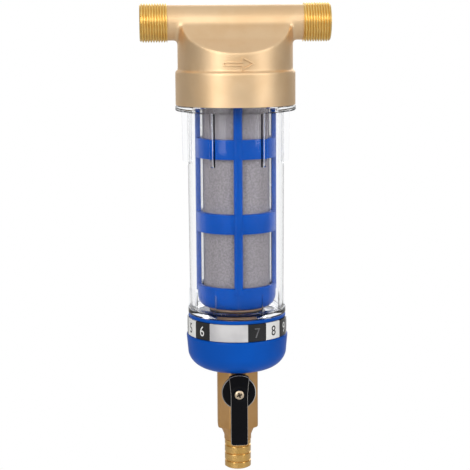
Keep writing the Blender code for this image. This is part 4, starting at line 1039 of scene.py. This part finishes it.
upper_root = (OUTER_TOP + INNER_TOP) / 2
corner_middle = UPPER_REACH - UPPER_LEAN - UPPER_CORNER
upper_points = [
    (upper_root, UPPER_LOW),
    (upper_root, FLANGE_BOTTOM + SUNK),
    (UPPER_REACH, FLANGE_BOTTOM + SUNK),
    *rounded(corner_middle, UPPER_LOW + UPPER_CORNER, UPPER_CORNER, 0, -90, 5),
]
lower_root = (OUTER_BOTTOM + INNER_BOTTOM) / 2
lower_points = [
    (lower_root, LOWER_FLANGE_TOP - SUNK),
    (lower_root, LOWER_HIGH),
    LOWER_TIP,
    (LOWER_REACH, LOWER_TOE),
    (LOWER_REACH, LOWER_FLANGE_TOP - SUNK),
]
add_gussets("upper gusset", upper_points, thickness=2.6 * MM, edge=0.5 * MM, segments=3, count=6)
add_gussets("lower gusset", lower_points, thickness=1.6 * MM, edge=0.15 * MM, segments=2, count=12)
dress(bowl, CLEAR, "filter_body", "clear_plastic", "bowl")
modify(bowl, "WEIGHTED_NORMAL", mode="FACE_AREA", weight=50, keep_sharp=True)

# %% [markdown]
# ## The mesh and what carries it
#
# The sleeve is a thin tube. Its wires are finer than a pixel of the picture, so they are a bump and a
# tint in the finish, and the tube itself only has to be round. The brass bushing under it shows
# through the bowl's clear floor as a bright ring.

# %% Mesh sleeve and floor bushing
sleeve_low, sleeve_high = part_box("mesh_sleeve")
bushing_low, bushing_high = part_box("floor_bushing")
CLOTH = 0.5 * MM
TUBE_HOLE = 11.3 * MM
BUSHING_FLANGE = bushing_high.x
BUSHING_FLANGE_BOTTOM = bushing_high.z - 2 * MM
BUSHING_NECK = 14 * MM
BUSHING_EDGE = 0.5 * MM
BUSHING_LOWER_EDGE = 0.4 * MM

cloth_inside = sleeve_high.x - CLOTH
sleeve = hoop("mesh_cloth", cloth_inside, sleeve_high.x, sleeve_low.z, sleeve_high.z, 0, 0)
dress(sleeve, MESH, "filter_body", "steel_mesh", "mesh_sleeve")

bushing = turned("brass_bushing", [
    (TUBE_HOLE, bushing_high.z),
    (BUSHING_FLANGE - BUSHING_EDGE, bushing_high.z),
    (BUSHING_FLANGE, bushing_high.z - BUSHING_EDGE),
    (BUSHING_FLANGE, BUSHING_FLANGE_BOTTOM + BUSHING_LOWER_EDGE),
    (BUSHING_FLANGE - BUSHING_LOWER_EDGE, BUSHING_FLANGE_BOTTOM),
    (BUSHING_NECK, BUSHING_FLANGE_BOTTOM),
    (BUSHING_NECK, bushing_low.z + BUSHING_EDGE),
    (BUSHING_NECK - BUSHING_EDGE, bushing_low.z),
    (TUBE_HOLE, bushing_low.z),
    (TUBE_HOLE, bushing_high.z),
])
dress(bushing, BUSHING_BRASS, "filter_body", "machined_brass", "floor_bushing")

# %% [markdown]
# ## The wiper cage
#
# The blue cage turns round the mesh and carries the wiper blades. It is moulded in one piece: a top
# ring, two bands, a cup below, and four ribs that are crowned a little, so that each rib has a lit
# flank and a dark one. Rings and cup are turned with rounded edges, the rib is extruded with bevelled
# edges, and a union makes them one skin.

# %% Wiper cage
BAND_OUTER = 27.3 * MM
BAND_INNER = 23.5 * MM
BAND_HEIGHT = 13.4 * MM
FIRST_WINDOW = -40.614 * MM
ROW_PITCH = 50.9 * MM
EDGE = 0.5 * MM
FAINT = 0.15 * EDGE
RIB_OUTER = cage_high.x
RIB_INNER = 24.6 * MM
RIB_HALF = 5.7 / 2 * MM
RIB_CROWN = 0.1 * MM
RIB_ROOT = BAND_OUTER - 0.6 * MM
RIB_SIDE = BAND_OUTER + 0.3 * MM
RIB_START = 2.3 * MM
RIB_COUNT = 4
BLADE_HALF = 1.5 * MM
BLADE_GROOVE = 1 * MM
CAGE_CUP_TOP = -179.914 * MM
CAGE_CUP_INSIDE = BAND_OUTER - 2.6 * MM
CAGE_CORNER = 6 * MM
CAGE_CORNER_TALL = 9 * MM
CAGE_FLOOR = 2.7 * MM
CAGE_END = cage_low.z


def band(name, low, high):
    """A ring of the cage with rounded outer edges."""
    return turned(name, [
        (BAND_INNER, high),
        (BAND_OUTER - EDGE, high),
        (BAND_OUTER - FAINT, high - FAINT),
        (BAND_OUTER, high - EDGE),
        (BAND_OUTER, low + EDGE),
        (BAND_OUTER - FAINT, low + FAINT),
        (BAND_OUTER - EDGE, low),
        (BAND_INNER, low),
        (BAND_INNER, high),
    ])


corner_x = BAND_OUTER - CAGE_CORNER
corner_z = CAGE_END + CAGE_CORNER_TALL
hollow = CAGE_CUP_INSIDE - corner_x
cage = turned("blue_cage", [
    (CAGE_CUP_INSIDE, CAGE_CUP_TOP),
    (BAND_OUTER - EDGE, CAGE_CUP_TOP),
    (BAND_OUTER, CAGE_CUP_TOP - EDGE),
    (BAND_OUTER, corner_z),
    *rounded(corner_x, corner_z, (CAGE_CORNER, CAGE_CORNER_TALL), -5, -90, 9),
    (TUBE_HOLE, CAGE_END),
    (TUBE_HOLE, CAGE_END + CAGE_FLOOR),
    *rounded(corner_x, corner_z, (hollow, CAGE_CORNER_TALL - CAGE_FLOOR), -90, 0),
    (CAGE_CUP_INSIDE, CAGE_CUP_TOP),
])
combine(cage, band("top ring", FIRST_WINDOW, cage_high.z), "UNION")
for row in (1, 2):
    low = FIRST_WINDOW - row * ROW_PITCH
    combine(cage, band("band", low, low + BAND_HEIGHT), "UNION")

rib_bottom = corner_z + RIB_START
rib_left = [
    (RIB_INNER, -RIB_HALF),
    (RIB_ROOT, -RIB_HALF),
    (RIB_SIDE, -RIB_HALF + EDGE),
    (RIB_OUTER - RIB_CROWN, -RIB_HALF / 2),
]
rib_right = [(x, -y) for x, y in reversed(rib_left)]
rib_points = [(x, y, rib_bottom) for x, y in [*rib_left, (RIB_OUTER, 0), *rib_right]]
rib = extruded("rib", rib_points, (0, 0, cage_high.z - EDGE - rib_bottom))
combine(cage, copies(rib, RIB_COUNT), "UNION")
groove = box(
    "blade groove",
    (BAND_INNER - EXTRA, -BLADE_HALF, CAGE_CUP_TOP),
    (RIB_INNER + BLADE_GROOVE, BLADE_HALF, cage_high.z + EXTRA),
)
combine(cage, copies(groove, RIB_COUNT))
dress(cage, BLUE, "turning_unit", "blue_plastic", "wiper_cage")

# %% [markdown]
# ## The blue cup and its rim
#
# The cup under the bowl is what a hand turns. Its wall leans in a little and runs into the floor in
# one big round corner, an ellipse, which gives it the soft highlight. Inside stands a hub on the
# drain tube. The month ring sits in the groove between the cup's lip and the rim ring.

# %% Bottom cup and rim ring
CUP_RADIUS = cup_high.x
CUP_TOP = -216.014 * MM
CUP_BOTTOM = cup_low.z
CUP_FLOOR = 3.5 * MM
CUP_WALL = 2.6 * MM
LIP_EDGE = 0.6 * MM
LIP_FAINT = 0.3 * LIP_EDGE
BELOW_LIP = (CUP_RADIUS - 0.1 * MM, CUP_TOP - 2.2 * MM)
CUP_INSIDE = CUP_RADIUS - 3.5 * MM
CUP_LEAN = 0.9 * MM
NECK_OUTER = 31.4 * MM
NECK_INNER = 28.8 * MM
NECK_EDGE = 0.3 * MM
RING_SEAT = 33 * MM
RING_SEAT_TOP = -203.714 * MM
HUB_TOP = -215.714 * MM
HUB_OUTER = 15.8 * MM
FOOT_INNER = HUB_OUTER - 0.1 * MM
CORNER_WIDE = 17 * MM
CORNER_TALL = 14 * MM
RIM_INNER = 31.7 * MM
RIM_EDGE = 0.4 * MM

corner = CUP_RADIUS - CUP_LEAN - CORNER_WIDE
corner_z = CUP_BOTTOM + CORNER_TALL
cup_hollow = (CORNER_WIDE - CUP_WALL, CORNER_TALL - CUP_FLOOR)
base = turned("blue_cup", [
    (NECK_INNER, cup_high.z),
    (NECK_OUTER - NECK_EDGE, cup_high.z),
    (NECK_OUTER, cup_high.z - NECK_EDGE),
    (NECK_OUTER, RING_SEAT_TOP),
    (RING_SEAT - NECK_EDGE, RING_SEAT_TOP),
    (RING_SEAT, RING_SEAT_TOP - NECK_EDGE),
    (RING_SEAT, CUP_TOP),
    (CUP_RADIUS - LIP_EDGE, CUP_TOP),
    (CUP_RADIUS - LIP_FAINT, CUP_TOP - LIP_FAINT),
    (CUP_RADIUS, CUP_TOP - LIP_EDGE),
    BELOW_LIP,
    *rounded(corner, corner_z, (CORNER_WIDE, CORNER_TALL), 0, -88, 22),
    (FOOT_INNER, CUP_BOTTOM),
    (TUBE_HOLE, CUP_BOTTOM),
    (TUBE_HOLE, HUB_TOP),
    (HUB_OUTER, HUB_TOP),
    (HUB_OUTER, CUP_BOTTOM + CUP_FLOOR),
    *rounded(corner, corner_z, cup_hollow, -90, 0, 12),
    (CUP_INSIDE, CUP_TOP - CUP_WALL),
    (NECK_INNER, CUP_TOP - CUP_WALL),
    (NECK_INNER, cup_high.z),
])
dress(base, BLUE, "turning_unit", "blue_plastic", "bottom_cup")

rim_low, rim_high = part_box("rim_ring")
rim = hoop("blue_rim", RIM_INNER, rim_high.x, rim_low.z, rim_high.z, RIM_EDGE, RIM_EDGE / 2)
dress(rim, BLUE, "turning_unit", "blue_plastic", "rim_ring")

# %% [markdown]
# ## The month ring
#
# The ring is turned by hand to the month of the next wipe. It has twelve printed cells, each a
# sixteenth of the round, with black and white taking turns, and two bare windows of twice that
# width. The ring has 192 sides, so each cell is exactly 12 faces wide, and each face takes the
# finish of its cell. The numbers are text made into a mesh and bent round the ring.

# %% Month ring: cells
ring_low, ring_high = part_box("month_ring")
RING_RADIUS = ring_high.x
RING_WALL = 1.4 * MM
RING_EDGE = 0.25 * MM
RING_SIDES = 192
WINDOW_START = math.radians(-35.5)
MONTHS = (None, None, 7, 8, 9, 10, 11, 12, None, None, 1, 2, 3, 4, 5, 6)
CELL = math.tau / len(MONTHS)


def month_at(p):
    """The month of the cell that a place lies in, or None in the two windows."""
    angle = math.atan2(p.x, -p.y) - WINDOW_START
    return MONTHS[int(angle % math.tau / CELL)]


def dark_cell(month):
    """Black cells: 7, 9 and 11 on one side, 2, 4 and 6 on the other."""
    return (month % 2 == 1) == (month >= 7)


ring_inside = RING_RADIUS - RING_WALL
ring = hoop(
    "month_band", ring_inside, RING_RADIUS, ring_low.z, ring_high.z, RING_EDGE, RING_EDGE, RING_SIDES
)
settle(ring, rotation=(0, 0, WINDOW_START))
coat(ring, CELL_BARE, CELL_WHITE, CELL_BLACK)
for face in ring.data.polygons:
    month = month_at(face.center)
    if month:
        face.material_index = 2 if dark_cell(month) else 1
dress(ring, None, "month_ring_unit", "ring_plastic", "month_ring")

# %% Month ring: numbers
DIGIT_HEIGHT = 7.0 * MM
DIGIT_SHARE = 0.70
DIGIT_WIDTH = 0.9
DIGIT_CURVES = 6
DIGIT_PROUD = 0.06 * MM
WORN_MONTH = 7


def month_number(month, angle):
    """One number on the ring: text, made a mesh with a thickness, and bent round."""
    bpy.ops.object.select_all(action="DESELECT")
    bpy.ops.object.text_add()
    text = bpy.context.object
    text.data.body = str(month)
    text.data.align_x = "CENTER"
    text.data.align_y = "CENTER"
    text.data.size = DIGIT_HEIGHT / DIGIT_SHARE
    text.data.resolution_u = DIGIT_CURVES
    text.scale = (DIGIT_WIDTH, 1, 1)
    bpy.ops.object.convert(target="MESH")
    number = named(f"number {month}")
    settle(number, rotation=(math.pi / 2, 0, 0))
    edit(number)
    close()
    places = [v.co for v in number.data.vertices]
    low = Vector([min(p[i] for p in places) for i in range(3)])
    high = Vector([max(p[i] for p in places) for i in range(3)])
    middle = Vector((0, 0, (ring_low.z + ring_high.z) / 2))
    settle(number, middle - (low + high) / 2)
    modify(number, "SOLIDIFY", thickness=2 * DIGIT_PROUD, offset=0)
    wrap_round(number, RING_RADIUS)
    return settle(number, rotation=(0, 0, angle))


numbers = {"dark_numbers": [], "pale_numbers": []}
for cell, month in enumerate(MONTHS):
    if month:
        number = month_number(month, WINDOW_START + (cell + 0.5) * CELL)
        if dark_cell(month):
            coat(number, CELL_FADED if month == WORN_MONTH else CELL_WHITE)
            numbers["pale_numbers"].append(number)
        else:
            coat(number, CELL_BLACK)
            numbers["dark_numbers"].append(number)
for name, made in numbers.items():
    together = joined(made)
    together.name = name
    edit(together)
    close()
    dress(together, None, "month_ring_unit", "ring_plastic")

# %% [markdown]
# ## The drain valve
#
# The ball valve's body is an octagonal casting with soft edges, a round neck below and a short boss
# in front for the stem. Like the head, it is pushed together, remeshed and smoothed a little, and the
# bores are cut afterwards.

# %% Valve body
VALVE_HALF = valve_high.x
VALVE_CORNER = VALVE_HALF / math.cos(math.pi / 8)
VALVE_TOP = valve_high.z
VALVE_BOTTOM = -284.114 * MM
VALVE_END = valve_low.z
VALVE_SKIN = 0.5 * MM
VALVE_EDGE = 1.1 * MM
# Each of the neck's points is a radius and a distance below the octagon, in millimetres.
NECK = ((12.2, -2), (12.2, 0), (9.9, 5.2), (9.6, 6.2))
BOSS_RADIUS = 7.5 * MM
BOSS_FACE = -16.4 * MM
CAVITY = 8.9 * MM
WATERWAY = 5 * MM
TAIL_HOLE = 7.5 * MM
TAIL_HOLE_TOP = tail_high.z + 0.3 * MM
STEM_HOLE = 3.9 * MM
STEM_Z = -255.014 * MM
stem = Vector((0, 0, STEM_Z))
past_top = (0, 0, VALVE_TOP + EXTRA)
past_end = (0, 0, VALVE_END - EXTRA)
past_boss = (0, BOSS_FACE - EXTRA, STEM_Z)

valve = rod("valve_casting", VALVE_CORNER, (0, 0, VALVE_BOTTOM), past_top, sides=8)
settle(valve, rotation=(0, 0, math.pi / 8))
soften(valve, VALVE_EDGE, 3)
neck = [(radius * MM, VALVE_BOTTOM - down * MM) for radius, down in NECK]
neck.append((neck[-1][0], VALVE_END - EXTRA))
combine(valve, turned("neck", neck), "UNION")
boss = rod("boss", BOSS_RADIUS, (0, EXTRA - VALVE_HALF, STEM_Z), past_boss, "Y")
combine(valve, boss, "UNION")
modify(valve, "REMESH", mode="VOXEL", voxel_size=VALVE_SKIN)
smooth_by(valve, "all over", lambda p: 1.0, 6)
trim(valve, (0, 0, VALVE_TOP), (0, 0, 1))
trim(valve, (0, 0, VALVE_END), (0, 0, -1))
trim(valve, (0, BOSS_FACE, 0), (0, -1, 0))
combine(valve, rod("cavity", CAVITY, (0, 0, STEM_Z - CAVITY), past_top))
combine(valve, rod("bore", WATERWAY, past_end, stem))
combine(valve, rod("tail bore", TAIL_HOLE, past_end, (0, 0, TAIL_HOLE_TOP)))
combine(valve, rod("stem hole", STEM_HOLE, stem, past_boss, "Y"))
dress(valve, VALVE_BRASS, "turning_unit", "blasted_brass", "valve_body")

# %% [markdown]
# ## The hose tail
#
# The tail is turned from brass bar. Three shallow barbs let a hose slide on and keep it there, and the
# grooves between them catch the light. Each barb is the same seven points, one length further down.

# %% Hose tail
BARB_RADIUS = tail_high.x
BARB_TOP = -293.414 * MM
BARB_LENGTH = 5.7 * MM
BARB_COUNT = 3
# Each of a barb's points is a distance inwards and one down, in millimetres.
BARB = ((0, -0.5), (0.7, -0.1), (0.7, 0.4), (0.12, 0.7), (0, 1.1), (0, 1.5), (0, 4.56))
TAIL_COLLAR = 3.6 * MM
TAIL_INSERT = 7.2 * MM
TAIL_BORE = 5 * MM
TAIL_EDGE = 0.4 * MM
NOSE_WIDE = 2.2 * MM
NOSE_TALL = 1.7 * MM

profile = [
    (TAIL_INSERT, tail_high.z),
    (TAIL_INSERT, BARB_TOP),
    (BARB_RADIUS - TAIL_EDGE, BARB_TOP),
    (BARB_RADIUS, BARB_TOP - TAIL_EDGE),
]
for i in range(BARB_COUNT):
    high = BARB_TOP - TAIL_COLLAR - i * BARB_LENGTH
    profile += [(BARB_RADIUS - inwards * MM, high - down * MM) for inwards, down in BARB]
nose = BARB_RADIUS - TAIL_EDGE - NOSE_WIDE
profile += rounded(nose, tail_low.z + NOSE_TALL, (NOSE_WIDE, NOSE_TALL), 0, -90, 5)
profile += [(TAIL_BORE, tail_low.z), (TAIL_BORE, tail_high.z), profile[0]]
tail = turned("brass_tail", profile)
dress(tail, TURNED_BRASS, "turning_unit", "machined_brass", "hose_tail")

# %% [markdown]
# ## The lever and its screw
#
# The lever is a thick flat bar, a little wider at its round top, on a disc that turns against the
# boss. It is painted gloss black, so what shows it are the lines of light on its bevelled edges; on
# the front bevels a pale colour is painted on as a highlight. The screw's dome is turned, a cross of
# two bars is cut from it, and painted shade darkens the faces inside the cross.

# %% Drain lever
DISC_RADIUS = 12 * MM
DISC_BACK = 16.8 * MM
DISC_FRONT = 19.4 * MM
LEVER_FRONT = 25 * MM
LEVER_HALF = 5.9 * MM
LEVER_CORNER = 1.8 * MM
TOP_HALF = 7 * MM
TOP_REACH = 13.7 * MM
ARM = STEM_Z - lever_low.z
SQUARE_HALF = 2.6 * MM
SQUARE_FRONT = 23.2 * MM
SCREW_HOLE = 1.9 * MM
HOLE_START = -30 * MM
LEVER_EDGE = 0.55 * MM
DISC_EDGE = 0.5 * MM
DISC_BACK_EDGE = 0.4 * MM
DISC_MIDDLE = 5 * MM
# The painted highlight goes on slanted front faces at least this far from the stem.
HIGHLIGHT_CLEAR_OF_STEM = 5 * MM
HIGHLIGHT_SLANT = (-0.92, -0.35)


def face_front(piece):
    """Turns a piece that was made upright to the front, at the height of the stem."""
    return settle(piece, stem, (math.pi / 2, 0, 0))


def corner_arc(x, start):
    """The rounded corner at the lever's lower end, on one side."""
    return rounded(x, LEVER_CORNER - ARM, LEVER_CORNER, start, start + 90, 5)


lean = math.degrees(math.asin(TOP_HALF / TOP_REACH))
lever_points = [
    *rounded(0, 0, TOP_REACH, 90 - lean, 90 + lean, 12),
    (-LEVER_HALF, 0),
    *corner_arc(LEVER_CORNER - LEVER_HALF, 180),
    *corner_arc(LEVER_HALF - LEVER_CORNER, 270),
    (LEVER_HALF, 0),
]
bar = extruded(
    "black_lever",
    [(x, -DISC_FRONT, STEM_Z + z) for x, z in lever_points],
    (0, DISC_FRONT - LEVER_FRONT, 0),
)
soften(bar, LEVER_EDGE, 3, math.radians(50))
disc = turned("disc", [
    (DISC_RADIUS - DISC_BACK_EDGE, DISC_BACK),
    (DISC_RADIUS, DISC_BACK + DISC_BACK_EDGE),
    (DISC_RADIUS, DISC_FRONT - DISC_EDGE),
    (DISC_RADIUS - DISC_EDGE, DISC_FRONT),
    (DISC_MIDDLE, DISC_FRONT + DISC_BACK_EDGE),
], 96)
combine(bar, face_front(disc), "UNION")
square = Vector((SQUARE_HALF, 0, SQUARE_HALF))
combine(bar, box("square", stem - square - Vector((0, SQUARE_FRONT, 0)), stem + square))
combine(bar, rod("hole", SCREW_HOLE, (0, HOLE_START, STEM_Z), (0, -DISC_FRONT, STEM_Z), "Y"))

# The bevels round the front of the bar and of the disc get a pale colour: a painted highlight.
coat(bar, ENAMEL, EDGE_HIGHLIGHT)
for face in bar.data.polygons:
    slanted = HIGHLIGHT_SLANT[0] < face.normal.y < HIGHLIGHT_SLANT[1]
    from_stem = math.hypot(face.center.x, face.center.z - STEM_Z)
    face.material_index = 1 if slanted and from_stem > HIGHLIGHT_CLEAR_OF_STEM else 0
print("painted highlight faces", sum(1 for face in bar.data.polygons if face.material_index == 1))
dress(bar, None, "lever_unit", "black_enamel", "drain_lever")

# %% Lever screw and the raised ring round it
SCREW_BACK = 25.3 * MM
SCREW_RADIUS = 3.3 * MM
SCREW_HEAD = 1.5 * MM
SCREW_SHANK = 1.6 * MM
SCREW_END = SCREW_BACK - 7 * MM
SCREW_EDGE = 0.15 * MM
SCREW_RIM = SCREW_BACK + 0.2 * MM
DOME_FOOT = 0.3 * MM
SCREW_TURN = math.radians(20)
CROSS_HALF = 0.55 * MM
CROSS_REACH = 1.9 * MM
CROSS_FLOOR = SCREW_BACK + 0.2 * MM
CROSS_TOP = SCREW_BACK + 3 * MM
# Where in the cross the painted shade goes.
SHADE_START = 0.05 * MM
SHADE_REACH = 2 * MM
SHADE_DEPTH = 0.3 * MM
RAISED_OUTER = 5.6 * MM
RAISED_INNER = 4.9 * MM
RAISED_TOP = LEVER_FRONT + 0.2 * MM
RAISED_SIDE = LEVER_FRONT + 0.08 * MM
RAISED_FOOT = LEVER_FRONT - 0.3 * MM
RAISED_EDGE = 0.2 * MM

collar = turned("screw_ring", [
    (RAISED_OUTER, RAISED_FOOT),
    (RAISED_OUTER, RAISED_SIDE),
    (RAISED_OUTER - RAISED_EDGE, RAISED_TOP),
    (RAISED_INNER + RAISED_EDGE, RAISED_TOP),
    (RAISED_INNER, RAISED_SIDE),
    (RAISED_INNER, RAISED_FOOT),
    (RAISED_OUTER, RAISED_FOOT),
], FEW_SIDES)
dress(face_front(collar), ENAMEL, "lever_unit", "black_enamel")

screw = turned("cross_screw", [
    (SCREW_SHANK, SCREW_END),
    (SCREW_SHANK, SCREW_BACK),
    (SCREW_RADIUS - SCREW_EDGE, SCREW_BACK),
    (SCREW_RADIUS, SCREW_RIM),
    *rounded(0, SCREW_BACK + DOME_FOOT, (SCREW_RADIUS, SCREW_HEAD - DOME_FOOT), 5, 85, 8),
], FEW_SIDES)
slots = []
for x, y in ((CROSS_HALF, CROSS_REACH), (CROSS_REACH, CROSS_HALF)):
    slots.append(box("cross", (-x, -y, CROSS_FLOOR), (x, y, CROSS_TOP)))
combine(screw, combine(*slots, "UNION"))
# The walls and the floor inside the cross get the painted shade.
coat(screw, SCREW_METAL, SLOT_SHADE)
for face in screw.data.polygons:
    depth = face.center.z - SCREW_BACK
    inside = SHADE_START < depth < SCREW_HEAD and face.center.xy.length < SHADE_REACH
    flat = abs(face.normal.z) < 0.1 or depth < SHADE_DEPTH
    face.material_index = 1 if inside and flat else 0
settle(screw, rotation=(0, 0, SCREW_TURN))
dress(face_front(screw), None, "lever_unit", "stainless_steel", "lever_screw")

# %% [markdown]
# ## The pieces inside
#
# Seals, seats, the mesh core, the drain tube and the valve's ball are hidden or nearly so, and their
# solids have the right shape. They only get the finish of what they are made of.

# %% Finishes of the inner pieces
SEALS = ("bowl_seal", "element_seal", "bushing_gasket", "tube_seal_1", "tube_seal_2", "stem_seal")
BLADES = ("wiper_blade_1", "wiper_blade_2", "wiper_blade_3", "wiper_blade_4")
MOULDINGS = ("mesh_core", "element_cap", "upper_ball_seat", "lower_ball_seat")
TURNINGS = ("bushing_nut", "drain_tube", "valve_adapter", "valve_ball", "valve_stem")
INNER = (
    (RUBBER, SEALS),
    (SILICONE, BLADES),
    (WHITE, MOULDINGS),
    (TURNED_BRASS, TURNINGS),
    (STEEL, ("tube_clip",)),
)
for finish, names in INNER:
    for name in names:
        coat(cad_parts[name], finish)
    print(finish.name, "on", ", ".join(names))

# %% [markdown]
# ## The size of the picture model
#
# The boxes of the solids and of the picture model are both printed. The picture model has to
# stay inside the box of the solids.

# %% Size and finish
visual_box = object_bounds()
for label, (low, high) in (("cad", cad_box), ("visual", visual_box)):
    print(label, [round(v / MM, 2) for v in low], [round(v / MM, 2) for v in high])
